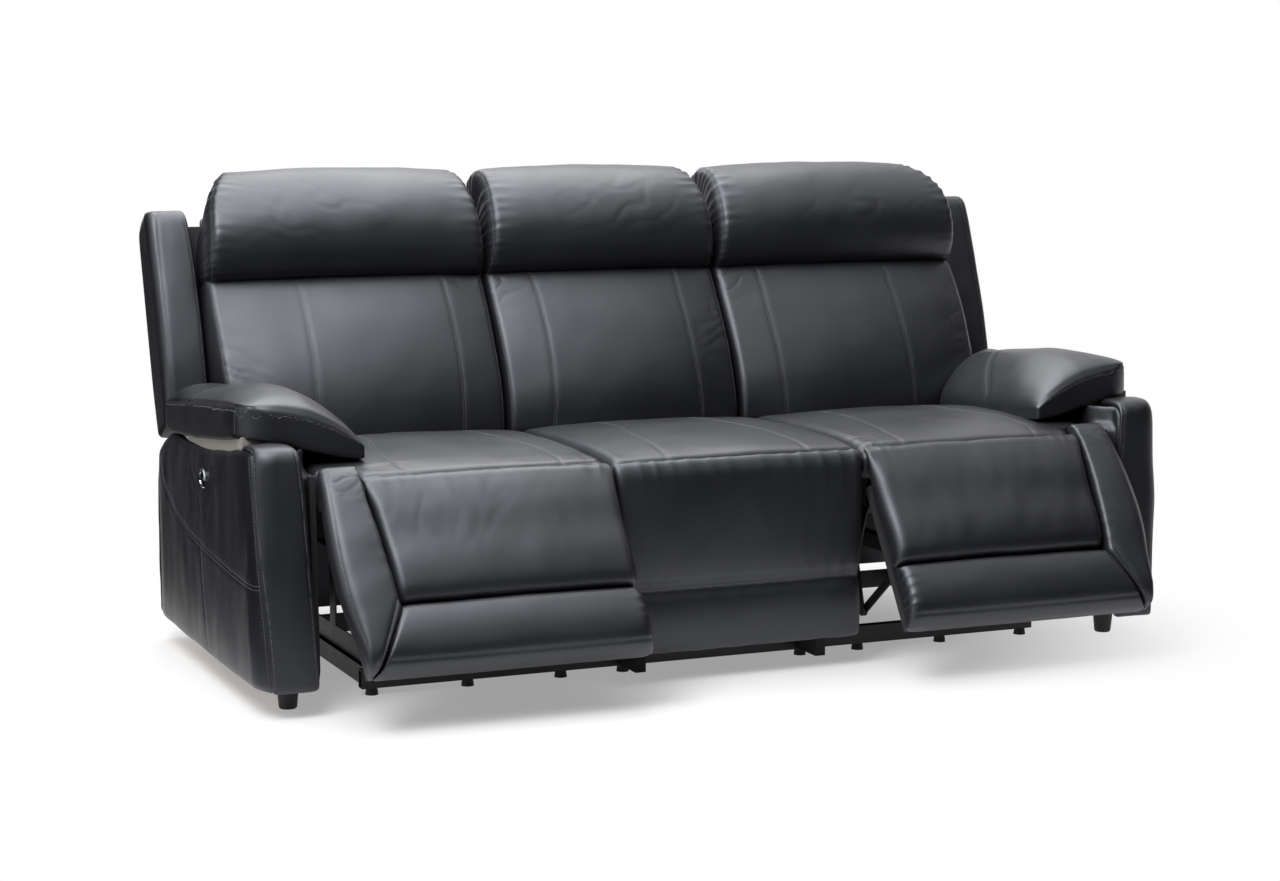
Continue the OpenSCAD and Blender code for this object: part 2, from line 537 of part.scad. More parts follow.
// Brackets: a web from the front pivot to the board, down to the lift pin, with a bolted flange
bracket_a1 = lift_a + 96;
module bracket_half() {
    difference() {
        union() {
            rotate([90, 0, 90]) linear_extrude(plate_t) polygon([[2, 2 - board_a0], [2, -bracket_a1],
                [16, -bracket_a1], [lift_p + 6, 1 - lift_a - ear_r], [lift_p + ear_r - 2, 6 - lift_a],
                [lift_p - 6, ear_r - lift_a], [32, 90 - lift_a], [ear_r, -4], [ear_r, 0], [-ear_r, 0],
                [-ear_r, -4]]);
            rotate([0, 90, 0]) cylinder(r = ear_r, h = plate_t);
            translate([0, lift_p, -lift_a]) rotate([0, 90, 0]) cylinder(r = ear_r, h = plate_t);
        }
        translate([-1, 0, 0]) rotate([0, 90, 0]) cylinder(r = pin_r + pin_gap, h = plate_t + 2);
    }
    difference() {
        translate([0, 2, -bracket_a1]) cube([flange_bolt + 14, plate_t, bracket_a1 - board_a0 - 8]);
        for (a = bracket_bolts) translate([flange_bolt, 0, -a]) rotate([90, 0, 0])
            cylinder(r = bolt_r, h = board_t * 3, center = true);
    }
    translate([0, lift_p, -lift_a]) rotate([0, 90, 0])
        cylinder(r = pin_r, h = layer_2 - layer_1 + plate_t + 1);
    for (a = bracket_bolts) translate([flange_bolt, 2 + plate_t + bolt_r, -a]) rotate([90, 0, 0]) {
        cylinder(r = bolt_r - 0.2, h = plate_t + board_t + bolt_r);
        cylinder(r = bolt_r * 1.7, h = bolt_r, $fn = 6);
    }
}
module footrest_brackets(s) color(black_steel) at_board() side(s) {
    translate([inner_x + layer_1, 0, 0]) bracket_half();
    translate([outer_x - layer_1, 0, 0]) mirror([1, 0, 0]) bracket_half();
}
module left_footrest_brackets() footrest_brackets(-1);
module right_footrest_brackets() footrest_brackets(1);
// A place on the footrest, from across, along the board and above the pivot plane
function board_point(q, a) = let (b = on_board(a, q[1])) [q[0], b[0], b[1]];
pad_base = board_t - 2 + fit_gap;
// Fall of a pad's face over the last part of its length, from place t0 of 1
function roll_off(t, t0, drop) = drop * pow(max(0, (t - t0) / (1 - t0)), 2);
function chaise_face(a) = let (t = a / footrest_seam) face_p
    + (footrest_pad_h - face_p - 4) * pow(sin(90 * min(1, t * 1.25)), 0.8) - roll_off(t, 0.88, 26);
chaise_as = [for (t = [0, 0.015, 0.05, 0.12, 0.2, 0.35, 0.55, 0.75, 0.88, 0.95, 0.985, 1])
    spread(2, footrest_seam - 1, t)];
module chaise_pad(s) color(black_leather) in_place() side(s) difference() {
    skin([for (a = chaise_as) [for (q = ring(half_mid + soft_gap, seat_out - 2, pad_base, chaise_face(a), 6))
        board_point(q, a)]]);
    bar(half_mid, arm_in, [0, pivot_h], nose_r + 1.5);
}
module left_chaise_pad() chaise_pad(-1);
module right_chaise_pad() chaise_pad(1);
// Trim: the outer edge strip and the lower pad, joined at a mitre
function trim_face(a) = let (t = (a - footrest_seam) / (footrest_l - footrest_seam))
    footrest_pad_h * (0.72 + 0.28 * pow(sin(180 * min(1, max(0, t * 0.9 + 0.06))), 0.6))
    - roll_off(t, 0.86, 22);
trim_as = [for (t = [0, 0.02, 0.07, 0.16, 0.4, 0.65, 0.86, 0.96, 1])
    spread(footrest_seam + 1, footrest_l, t)];
// The whole is shifted so that its box is centred between its front and rear reach
trim_crown = 6;
front_reach = -min([for (a = trim_as) on_board(a, trim_face(a) + trim_crown * 0.96)[0]]);
rear_reach = on_back(wing_top, 0)[0];
y_shift = (front_reach - rear_reach) / 2;
edge_top = -58;
function edge_face(a) = let (t = (a - edge_top) / (footrest_l - 20 - edge_top))
    spread(30, footrest_pad_h, pow(min(1, t * 1.6), 0.5)) - roll_off(t, 0.94, 20);
function edge_base(a) = a < 4 ? spread(14, pad_base + 8, (a - edge_top) / (4 - edge_top)) : pad_base;
edge_as = [for (t = [0, 0.02, 0.06, 0.14, 0.24, 0.36, 0.5, 0.7, 0.88, 1])
    spread(edge_top, footrest_seam + 40, t)];
function edge_x1(a) = trim_x1 - 20 * max(0, a) / footrest_l;
module footrest_trim(s) color(black_leather) in_place() side(s) {
    skin([for (a = trim_as)
        [for (q = ring(half_mid + soft_gap, trim_x1 - 22, pad_base, trim_face(a), trim_crown))
            board_point(q, a)]]);
    skin([for (a = edge_as)
        [for (q = ring(seat_out + 2, edge_x1(a), edge_base(a), edge_face(a), 2, 0.5)) board_point(q, a)]]);
}
module left_footrest_trim() footrest_trim(-1);
module right_footrest_trim() footrest_trim(1);

// Drive: tube with a crank at each end and the lever that the actuator pushes
lever_t = 8;
module drive_tube(s) color(black_steel) in_place() side(s) difference() {
    union() {
        bar(inner_x + layer_1, outer_x - layer_1, drive, tube_r);
        layer(layer_1, layer_1 + plate_t, flat_bar(drive, crank_end, ear_r - 2));
        layer_bar(layer_1, layer_1 + plate_t, crank_end, ear_r);
        layer_bar(layer_1, layer_2 + plate_t + 1, crank_end, pin_r);
        slab(seat_mid - lever_t / 2, seat_mid + lever_t / 2, flat_bar(drive, lever_pin, ear_r - 2));
        bar(seat_mid - lever_t / 2, seat_mid + lever_t / 2, lever_pin, ear_r - 2);
        bar(seat_mid - 15, seat_mid + 15, lever_pin, pin_r);
    }
    layer_bar(layer_1 - 1, layer_1 + 20, drive, pin_r + pin_gap);
}
module left_drive_tube() drive_tube(-1);
module right_drive_tube() drive_tube(1);
// Lift links: flat bars from the crank ends to the footrest brackets
module lift_links(s) color(black_steel) in_place() side(s) difference() {
    union() {
        layer(layer_2, layer_2 + plate_t, flat_bar(crank_end, lift_pin, ear_r - 3));
        for (q = [crank_end, lift_pin]) layer_bar(layer_2, layer_2 + plate_t, q, ear_r);
    }
    layer_bar(layer_2 - 1, layer_2 + plate_t + 1, crank_end, pin_r + pin_gap);
    layer_bar(layer_2 - 1, layer_2 + plate_t + 1, lift_pin, pin_r + open_pin_gap);
}
module left_lift_links() lift_links(-1);
module right_lift_links() lift_links(1);
// Actuators: a square beam on two supports, with the gear head and motor at its rear
beam_w = 34;
beam_z0 = drive_z - lever_l - 76;
beam_y0 = front_rail_y - rail_w - 30;
beam_y1 = rear_rail_y - 40;
support_t = 5;
gear_w = 52;
motor_r = 24;
motor_l = 74;
module actuator() {
    block(seat_mid - beam_w / 2, seat_mid + beam_w / 2, beam_y0, beam_y1, beam_z0, beam_z0 + beam_w);
    slab(seat_mid - 14, seat_mid + 14, [[beam_y0, rail_top], [beam_y0, beam_z0],
        [beam_y0 + support_t, beam_z0], [beam_y0 + support_t, rail_top + 4],
        [front_rail_y + 10, rail_top + 4], [front_rail_y + 10, rail_top]]);
    block(seat_mid - 16, seat_mid + 16, rear_rail_y - 9, rear_rail_y + 9, rail_top, beam_z0 + beam_w);
    block(seat_mid - gear_w / 2, seat_mid + gear_w / 2, beam_y1 - 64, rear_rail_y - 9, beam_z0 - 6,
        beam_z0 + beam_w + 6);
    translate([seat_mid, beam_y1 - 34, beam_z0 - 4 - motor_l]) {
        cylinder(r = motor_r, h = motor_l);
        translate([0, 0, -6]) cylinder(r = 9, h = 8);
    }
}
module actuators() color("#2b2c2e") in_place() both_sides() actuator();
// The travelling nut slides on the beam and pushes the lever pin in its two slots
slot_w = 2 * pin_r + 5.6;
slot_z = [drive_z - lever_l - 2, drive_z - lever_l * 0.72 + 4];
cheek_z1 = lever_pin[1] + ear_r + 20;
cheek_t = 5;
nut_wall = 8;
module drive_nut(s) color("#3a3b3e") in_place() side(s) difference() {
    union() {
        block(seat_mid - beam_w / 2 - nut_wall, seat_mid + beam_w / 2 + nut_wall, lever_pin[0] - 26,
            lever_pin[0] + 26, beam_z0 - nut_wall, beam_z0 + beam_w + nut_wall);
        for (x = [seat_mid - lever_t - 1, seat_mid + lever_t + 1]) block(x - cheek_t / 2, x + cheek_t / 2,
            lever_pin[0] - 22, lever_pin[0] + 22, beam_z0 + beam_w, cheek_z1);
    }
    block(seat_mid - beam_w / 2 - fit_gap, seat_mid + beam_w / 2 + fit_gap, lever_pin[0] - 60,
        lever_pin[0] + 60, beam_z0 - fit_gap, beam_z0 + beam_w + fit_gap);
    block(seat_mid - 20, seat_mid + 20, lever_pin[0] - slot_w / 2, lever_pin[0] + slot_w / 2,
        slot_z[0], slot_z[1]);
    for (z = slot_z) bar(seat_mid - 20, seat_mid + 20, [lever_pin[0], z], slot_w / 2);
}
module left_drive_nut() drive_nut(-1);
module right_drive_nut() drive_nut(1);

// Backs: hinge brackets, plywood panel, lower cushion, head pillow, rear cover and wing
hinge_u = back_u(hinge);
hinge_v = back_v(hinge);
panel_u0 = hinge_u + 38;
back_bolts = [60, 150, 240];
back_flange = [40, 5, 330];
flange_u0 = hinge_u - 24;
back_bolt_x = 22;
hole_r = 52;
panel_in = 14;
pillow_x1 = arm_in + 44;
module back_bracket() {
    difference() {
        union() {
            rotate([90, 0, 90]) linear_extrude(plate_t) polygon([[-hinge_v - ear_r + 2, hinge_u - 6],
                [-hinge_v + 2, hinge_u - ear_r], [-cover_t - 1, flange_u0], [-cover_t - 1, hinge_u + 24],
                [-hinge_v, hinge_u + ear_r]]);
            translate([0, -hinge_v, hinge_u]) rotate([0, 90, 0]) cylinder(r = ear_r, h = plate_t);
        }
        translate([-1, -hinge_v, hinge_u]) rotate([0, 90, 0]) cylinder(r = pin_r + pin_gap, h = plate_t + 2);
    }
    difference() {
        translate([0, fit_gap - panel_v, flange_u0]) cube(back_flange);
        for (u = back_bolts) translate([back_bolt_x, 0, hinge_u + u]) rotate([90, 0, 0])
            cylinder(r = bolt_r, h = 60, center = true);
    }
    for (u = back_bolts) translate([back_bolt_x, 0.5 - panel_v - panel_t, hinge_u + u]) rotate([-90, 0, 0]) {
        cylinder(r = bolt_r - 0.2, h = panel_t + back_flange[1]);
        cylinder(r = bolt_r * 1.7, h = bolt_head, $fn = 6);
    }
}
module back_brackets(s) color(black_steel) at_back() side(s) {
    translate([inner_x + layer_1, 0, 0]) back_bracket();
    translate([outer_x - layer_1, 0, 0]) mirror([1, 0, 0]) back_bracket();
}
module left_back_brackets() back_brackets(-1);
module right_back_brackets() back_brackets(1);
module panel(x0, x1, u0) difference() {
    block(x0, x1, -panel_v - panel_t, -panel_v, u0, wing_top - 12);
    for (k = [0.25, 0.5, 0.75], u = [0.3, 0.62])
        translate([spread(x0, x1, k), 0, spread(panel_u0, wing_top, u)])
            rotate([90, 0, 0]) cylinder(r = hole_r, h = 200, center = true);
}
module back_frame(s) color(lining) at_back() side(s) difference() {
    union() {
        panel(half_mid + panel_in, arm_in - panel_in, panel_u0);
        block(arm_in - 20, wing_x0 - fit_gap, -panel_v - panel_t, -panel_v, wing_low + 60, wing_top - 26);
    }
    for (x = [inner_x + layer_1 + back_bolt_x, outer_x - layer_1 - back_bolt_x], u = back_bolts)
        translate([x, 0, hinge_u + u]) rotate([90, 0, 0]) {
            cylinder(r = bolt_r, h = 200, center = true);
            translate([0, 0, panel_v + panel_t - 4]) cylinder(r = bolt_r * 1.7 + 1, h = 5);
        }
}
module left_back_frame() back_frame(-1);
module right_back_frame() back_frame(1);
module middle_back_frame() color(lining) at_back()
    panel(panel_in - half_mid, half_mid - panel_in, mid_panel_u0);
function back_point(q, u) = let (b = on_back(u, q[1])) [q[0], b[0], b[1]];
// Depth of the lower cushion: full at the loins, falling to the seam under the pillow
cushion_u0 = hinge_u + 70;
cushion_u1 = pillow_seam - 4;
loin_foot = 164;
loin_depth = 212;
loin_fall = 122;
loin_t = 0.25;
function loin(u) = let (t = (u - cushion_u0) / (cushion_u1 - cushion_u0)) panel_face + (t < loin_t
    ? spread(loin_foot, loin_depth, pow(sin(90 * t / loin_t), 0.6))
    : loin_depth - loin_fall * pow((t - loin_t) / (1 - loin_t), 1.8)) - roll_off(t, 0.94, 24);
cushion_us = [for (t = [0, 0.01, 0.035, 0.09, 0.18, 0.34, 0.52, 0.7, 0.86, 0.94, 0.985, 1])
    spread(cushion_u0, cushion_u1, t)];
// The outer edge of the end cushions steps out above the arm
function cushion_out(u) = spread(arm_in - 8, arm_in + 20, min(1, max(0, (u - wing_low - 42) / 40)));
module low_cushion(x0, out) skin([for (u = cushion_us)
    [for (q = ring(x0, out > 0 ? cushion_out(u) : -x0, panel_face, loin(u), 14, 0.58,
        u < pillow_seam - 20 ? 4 : 0)) back_point(q, u)]]);
module back_cushion(s) color(black_leather) in_place() side(s) low_cushion(half_mid + soft_gap / 2, 1);
module left_back_cushion() back_cushion(-1);
module right_back_cushion() back_cushion(1);
module middle_back_cushion() color(black_leather) in_place() low_cushion(soft_gap / 2 - half_mid, 0);
// Head pillow: a full roll over the top of the panel, gathered at both ends
pillow_foot = 86;
pillow_swell = 92;
pillow_narrow = 8;
roll_u = wing_top + 3;
function pillow_t(u) = (u - pillow_seam) / (back_l - pillow_seam);
function pillow_face(u) = panel_face + pillow_foot
    + pillow_swell * pow(sin(180 * min(1, 0.12 + pillow_t(u) * 0.8)), 0.8) - roll_off(pillow_t(u), 0.82, 62);
function pillow_back(u) = u < roll_u + 1 ? panel_face
    : spread(cover_t + 3, panel_face + 18, pow(min(1, (u - roll_u - 1) / (back_l - roll_u - 1)), 2));
function pillow_in(u) = pillow_narrow * pow(pillow_t(u), 3);
pillow_us = concat([for (t = [0, 0.02, 0.08, 0.2, 0.4, 0.6]) spread(pillow_seam, roll_u, t / 0.6)],
    [for (t = [0.03, 0.3, 0.6, 0.85, 1]) spread(roll_u, back_l, t)]);
module head_pillow(x0, x1) skin([for (u = pillow_us)
    [for (q = ring(x0 + pillow_in(u), x1 - pillow_in(u), pillow_back(u), pillow_face(u), 14, 0.6))
        back_point(q, u)]]);
module end_pillow(s) color(black_leather) in_place() side(s) head_pillow(half_mid + soft_gap / 2, pillow_x1);
module left_head_pillow() end_pillow(-1);
module right_head_pillow() end_pillow(1);
module middle_head_pillow() color(black_leather) in_place()
    head_pillow(soft_gap / 2 - half_mid, half_mid - soft_gap / 2);
// Rear covers: a thin padded skin behind the panel
border_w = 20;
module rear_cover(x0, x1, borders, u0) {
    block(x0, x1, -cover_t, 0, cover_u0, wing_top);
    for (x = borders) block(x, x + border_w, fit_gap - panel_v, 0, u0, wing_top - 12);
}
module end_cover() {
    x0 = half_mid + soft_gap / 2;
    x1 = arm_in - 6;
    rear_cover(x0, x1, [inner_x + layer_1 - border_w - soft_gap, x1 - border_w - panel_in], panel_u0);
    block(x1 - 1, wing_x0 - fit_gap, -cover_t, 0, wing_low + 28, wing_top - 12);
}
module left_back_cover() color(black_leather) at_back() side(-1) end_cover();
module right_back_cover() color(black_leather) at_back() end_cover();
module middle_back_cover() color(black_leather) at_back()
    rear_cover(soft_gap / 2 - half_mid, half_mid - soft_gap / 2,
        [panel_in - half_mid, half_mid - panel_in - border_w], mid_panel_u0);
// Wings stand beside the pillow, over the rear shoulder of each arm
wing_round = 60;
wing_tilt = wing_rise / wing_d;
function wing_half(u) = let (t = (wing_top - u) / wing_round)
    t < 1 ? pow(max(0.02, 1 - pow(1 - t, 2.4)), 1 / 2.4) : 1;
function wing_u(i) = i < 6 ? spread(wing_low, wing_top - wing_round, [0, 0.01, 0.04, 0.25, 0.6, 1][i])
    : spread(wing_top - wing_round, wing_top, [0.4, 0.7, 0.88, 0.97, 1][i - 6]);
function wing_draw(i) = i == 0 ? 8 : i == 1 ? 3 : 0;
function wing_ring(i) = let (u = wing_u(i), d = wing_draw(i), f = wing_half(u),
    v1 = wing_d * (0.55 + 0.45 * f) - d, v0 = wing_d * 0.3 * (1 - f) + d,
    x0 = wing_x0 + d, x1 = half_w - d - 10 * (1 - f))
    [for (q = [[x0, v0 + 6], [x0, v1 - 12], [x0 + 5, v1 - 4], [x0 + 14, v1], [x1 - 22, v1 - 2],
        [x1 - 8, v1 - 8], [x1, v1 - 22], [x1, spread(v0, v1, 0.5)], [x1, v0 + 18], [x1 - 5, v0 + 6],
        [x1 - 16, v0], [x0 + 16, v0]])
        back_point(q, u + wing_tilt * q[1] * max(0, 1 - (u - wing_low) / 200))];
module wing(s) color(black_leather) in_place() side(s) skin([for (i = [0:10]) wing_ring(i)]);
module left_wing() wing(-1);
module right_wing() wing(1);
// Fixed skirt that closes the rear below the backs
skirt_t = 8;
inlet_z = 150;
inlet_r = 5.5;
inlet_l = 16;
socket_r = inlet_r + 4;
module at_inlets() in_place() both_sides() translate([seat_mid, skirt_y + skirt_t, inlet_z])
    rotate([-90, 0, 0]) children();
module rear_skirt() color(black_leather) difference() {
    in_place() block(fit_gap - arm_in, arm_in - fit_gap, skirt_y, skirt_y + skirt_t, batten_low, skirt_h);
    at_inlets() cylinder(r = socket_r + fit_gap, h = 40, center = true);
}
module power_inlets() color("#232326") at_inlets() difference() {
    union() {
        cylinder(r1 = socket_r + 5, r2 = socket_r + 3, h = 3);
        translate([0, 0, -inlet_l]) cylinder(r = socket_r, h = inlet_l + 1);
    }
    translate([0, 0, 5 - inlet_l]) cylinder(r = inlet_r, h = 20);
}
// Switch: a round bezel with two push buttons
bezel_t = 4;
well_r = bezel_r - 7;
well_d = 14;
bar_t = 1.6;
module bezel() {
    rotate_extrude() polygon([[well_r, -well_d], [well_r, bezel_t], [well_r + 2, bezel_t + 0.6],
        [bezel_r - 2, bezel_t - 1], [bezel_r, 0.01], [well_r + bar_t, 0.01], [well_r + bar_t, -well_d]]);
    translate([0, 0, -well_d]) cylinder(r = well_r + 1, h = 3);
    translate([-well_r - 1, -bar_t / 2, 2 - well_d]) cube([2 * well_r + 2, bar_t, well_d - 2]);
}
module at_switch() in_place() translate([half_w, switch_y, switch_z]) rotate([90, 0, 90]) children();
module switch_bezels() color("#c9cbce") both_sides() at_switch() bezel();
module button(k) intersection() {
    translate([0, 0, -6]) cylinder(r = well_r - 0.5, h = bezel_t + 5);
    translate([-bezel_r, k > 0 ? 1.2 : -bezel_r - 1.2, -8]) cube([2 * bezel_r, bezel_r, 20]);
}
module left_open_button() color("#9fa1a4") mirror([1, 0, 0]) at_switch() button(1);
module left_close_button() color("#9fa1a4") mirror([1, 0, 0]) at_switch() button(-1);
module right_open_button() color("#9fa1a4") at_switch() button(1);
module right_close_button() color("#9fa1a4") at_switch() button(-1);

cross_rails();
side_rails();
side_plates();
glides();
arm_feet();
arm_inner_boards();
arm_battens();
left_arm_cover();
right_arm_cover();
left_arm_pad();
right_arm_pad();
arm_pad_bases();
seat_side_boards();
seat_cross_boards();
middle_side_panels();
seat_springs();
frame_bolts();
left_seat_cushion();
middle_seat_cushion();
right_seat_cushion();
middle_front_board();
middle_front_pad();
middle_back_frame();
middle_back_cushion();
middle_head_pillow();
middle_back_cover();
rear_skirt();
actuators();
power_inlets();
switch_bezels();
left_open_button();
left_close_button();
right_open_button();
right_close_button();
left_footrest_board();
left_footrest_brackets();
left_chaise_pad();
left_footrest_trim();
left_drive_tube();
left_lift_links();
left_drive_nut();
left_back_brackets();
left_back_frame();
left_back_cushion();
left_head_pillow();
left_back_cover();
left_wing();
right_footrest_board();
right_footrest_brackets();
right_chaise_pad();
right_footrest_trim();
right_drive_tube();
right_lift_links();
right_drive_nut();
right_back_brackets();
right_back_frame();
right_back_cushion();
right_head_pillow();
right_back_cover();
right_wing();
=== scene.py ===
import json
import math
import bmesh
import bpy
import numpy as np
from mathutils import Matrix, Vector
from mathutils.bvhtree import BVHTree
from mathutils.kdtree import KDTree


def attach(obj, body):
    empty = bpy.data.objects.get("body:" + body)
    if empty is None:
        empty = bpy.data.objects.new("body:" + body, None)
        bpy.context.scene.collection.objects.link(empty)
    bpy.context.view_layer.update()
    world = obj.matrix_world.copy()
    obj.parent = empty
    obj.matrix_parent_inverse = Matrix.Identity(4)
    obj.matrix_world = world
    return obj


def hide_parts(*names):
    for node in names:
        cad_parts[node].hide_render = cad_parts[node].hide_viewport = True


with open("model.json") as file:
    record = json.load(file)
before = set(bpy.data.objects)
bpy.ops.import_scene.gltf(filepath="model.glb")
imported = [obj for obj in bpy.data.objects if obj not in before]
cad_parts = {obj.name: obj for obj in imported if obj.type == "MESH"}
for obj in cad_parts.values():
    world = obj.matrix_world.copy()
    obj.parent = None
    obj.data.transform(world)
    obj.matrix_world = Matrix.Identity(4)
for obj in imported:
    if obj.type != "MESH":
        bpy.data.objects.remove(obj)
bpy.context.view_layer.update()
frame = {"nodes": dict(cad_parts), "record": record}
jointAt = {j["name"]: j["pos_m"] for j in frame["record"]["behaviour"]["joints"] if "pos_m" in j}
pivotY = jointAt["left_footrest_hinge"][1]  # side view places below are in mm behind this pivot
print("frame loaded")

# In mm and degrees: half the width, the footrest's pivot and photographed angle with the height of its board,
# and the rake and foot of the backs with the height of their panel
sofa = dict(halfWide=1075, pivotZ=436, restOpen=33.0, boardTop=18.5, rake=16.7, footY=758, footZ=300,
            panelTop=45.5)


def onBoard(a, p):  # down the footrest board, and ahead of its pivot plane
    t = math.radians(sofa["restOpen"])
    return [-a * math.sin(t) - p * math.cos(t), sofa["pivotZ"] - a * math.cos(t) + p * math.sin(t)]


def onBack(u, v):  # up the back, and ahead of its rear face
    t = math.radians(sofa["rake"])
    return [sofa["footY"] + u * math.sin(t) - v * math.cos(t),
            sofa["footZ"] + u * math.cos(t) + v * math.sin(t)]


def boardLine(*points):
    return [onBoard(a, p) for a, p in points]


def flatOnBoard(*places):
    return [onBoard(a, sofa["boardTop"]) for a in places]


def backLine(*points):
    return [onBack(u, v) for u, v in points]


def flatOnBack(*places):
    return [onBack(u, sofa["panelTop"]) for u in places]


# Materials
def toLinear(hexColour):
    out = []
    for k in (1, 3, 5):
        c = int(hexColour[k:k + 2], 16) / 255
        out.append(c / 12.92 if c <= 0.04045 else ((c + 0.055) / 1.055) ** 2.4)
    return out + [1.0]


def addNode(tree, kind, values=None, links=None, **settings):
    node = tree.nodes.new(kind)
    for key, value in settings.items():
        setattr(node, key, value)
    for key, value in (values or {}).items():
        node.inputs[key].default_value = value
    for key, source in (links or {}).items():
        tree.links.new(source, node.inputs[key])
    return node


def startMaterial(name, values):
    m = bpy.data.materials.new(name)
    m.use_nodes = True
    tree = m.node_tree
    shader = next(n for n in tree.nodes if n.type == "BSDF_PRINCIPLED")
    for key, value in values.items():
        shader.inputs[key].default_value = value
    place = addNode(tree, "ShaderNodeTexCoord").outputs["Object"]
    return m, tree, shader, place


def colourBy(tree, shader, fac, low, high, rough=None):  # a pattern's two colours, and its range of roughness
    shade = addNode(tree, "ShaderNodeValToRGB", links={"Fac": fac})
    for stop, (at, colour) in zip(shade.color_ramp.elements, (low, high)):
        stop.position = at
        stop.color = toLinear(colour)
    tree.links.new(shade.outputs["Color"], shader.inputs["Base Color"])
    if rough:
        dull = addNode(tree, "ShaderNodeMapRange", rough, {"Value": fac})
        tree.links.new(dull.outputs["Result"], shader.inputs["Roughness"])


def emboss(tree, shader, fac, strength, distance):
    bump = addNode(tree, "ShaderNodeBump", {"Strength": strength, "Distance": distance}, {"Height": fac})
    tree.links.new(bump.outputs["Normal"], shader.inputs["Normal"])


# Chrome-tanned full-grain cowhide, drum dyed black with a satin top coat: pebbles of about 1.4 mm,
# soft creases a few centimetres long, and a finish that is a little duller where the hide is pulled
def makeLeather():
    m, tree, shader, place = startMaterial("fullGrainLeatherBlack", {
        "IOR": 1.5, "Specular IOR Level": 0.8, "Specular Tint": toLinear("#eceffa"),
        "Coat Weight": 0.12, "Coat Roughness": 0.35})
    cloud = addNode(tree, "ShaderNodeTexNoise", {"Scale": 5.0, "Detail": 4.0}, {"Vector": place})
    colourBy(tree, shader, cloud.outputs["Fac"], (0.3, "#131417"), (0.75, "#191a1e"),
             {"From Min": 0.3, "From Max": 0.7, "To Min": 0.4, "To Max": 0.5})
    wander = addNode(tree, "ShaderNodeTexNoise", {"Scale": 320.0, "Detail": 2.0}, {"Vector": place})
    bent = addNode(tree, "ShaderNodeMixRGB", {"Fac": 0.0016},
                   {"Color1": place, "Color2": wander.outputs["Color"]}, blend_type="ADD")
    pebble = addNode(tree, "ShaderNodeTexVoronoi", {"Scale": 700.0}, {"Vector": bent.outputs["Color"]},
                     feature="DISTANCE_TO_EDGE")
    grain = addNode(tree, "ShaderNodeMapRange", {"From Min": 0.0, "From Max": 0.22},
                    {"Value": pebble.outputs["Distance"]}, interpolation_type="SMOOTHSTEP")
    crease = addNode(tree, "ShaderNodeTexNoise", {"Scale": 30.0, "Detail": 2.0, "Distortion": 0.4},
                     {"Vector": place})
    fold = addNode(tree, "ShaderNodeBump", {"Strength": 0.1, "Distance": 0.001},
                   {"Height": crease.outputs["Fac"]})
    bump = addNode(tree, "ShaderNodeBump", {"Strength": 0.3, "Distance": 0.00016},
                   {"Height": grain.outputs["Result"], "Normal": fold.outputs["Normal"]})
    tree.links.new(bump.outputs["Normal"], shader.inputs["Normal"])
    return m


# Bonded polyester sewing thread, 0.9 mm, in a mid grey: matt, with its twist as a fine ripple
def makeThread():
    m, tree, shader, place = startMaterial("polyesterThreadGrey", {"Roughness": 0.65, "IOR": 1.5})
    twist = addNode(tree, "ShaderNodeTexNoise", {"Scale": 900.0}, {"Vector": place})
    colourBy(tree, shader, twist.outputs["Fac"], (0.3, "#5c5e64"), (0.7, "#82848a"))
    return m


# Mild steel sheet and tube, powder coated satin black: a fine orange peel and a few pale rubs
def makeCoated():
    m, tree, shader, place = startMaterial("powderCoatedSteelBlack", {"IOR": 1.5})
    peel = addNode(tree, "ShaderNodeTexNoise", {"Scale": 700.0, "Detail": 1.0}, {"Vector": place})
    rub = addNode(tree, "ShaderNodeTexNoise", {"Scale": 24.0, "Detail": 6.0}, {"Vector": place})
    colourBy(tree, shader, rub.outputs["Fac"], (0.45, "#17171a"), (0.8, "#26272a"),
             {"To Min": 0.36, "To Max": 0.55})
    emboss(tree, shader, peel.outputs["Fac"], 0.2, 0.0001)
    return m


# Glass-filled nylon, moulded: matt black with the fine texture of the tool
def makeNylon():
    m, tree, shader, place = startMaterial("mouldedNylonBlack", {"IOR": 1.53})
    fine = addNode(tree, "ShaderNodeTexNoise", {"Scale": 1500.0}, {"Vector": place})
    colourBy(tree, shader, fine.outputs["Fac"], (0.3, "#161618"), (0.7, "#1f1f22"),
             {"To Min": 0.5, "To Max": 0.66})
    emboss(tree, shader, fine.outputs["Fac"], 0.25, 0.0001)
    return m


# Planed pine, bare: growth rings stretched along the batten and a pale, dry surface
def makeTimber():
    m, tree, shader, place = startMaterial("barePlanedPine", {"IOR": 1.45})
    long = addNode(tree, "ShaderNodeMapping", {"Scale": (6.0, 40.0, 40.0)}, {"Vector": place})
    ring = addNode(tree, "ShaderNodeTexNoise", {"Scale": 4.0, "Detail": 6.0, "Distortion": 1.2},
                   {"Vector": long.outputs["Vector"]})
    colourBy(tree, shader, ring.outputs["Fac"], (0.35, "#9c7749"), (0.7, "#caa877"),
             {"To Min": 0.6, "To Max": 0.8})
    emboss(tree, shader, ring.outputs["Fac"], 0.2, 0.0004)
    return m


# Non-woven polypropylene lining over board, pale grey or black: matt, with pressed fibres about 1 mm apart
def makeLining(shade, dark, light):
    m, tree, shader, place = startMaterial("nonWovenLining" + shade, {"IOR": 1.49})
    fibre = addNode(tree, "ShaderNodeTexNoise", {"Scale": 900.0, "Detail": 3.0}, {"Vector": place})
    colourBy(tree, shader, fibre.outputs["Fac"], (0.3, dark), (0.7, light), {"To Min": 0.85, "To Max": 0.95})
    emboss(tree, shader, fibre.outputs["Fac"], 0.4, 0.0003)
    return m


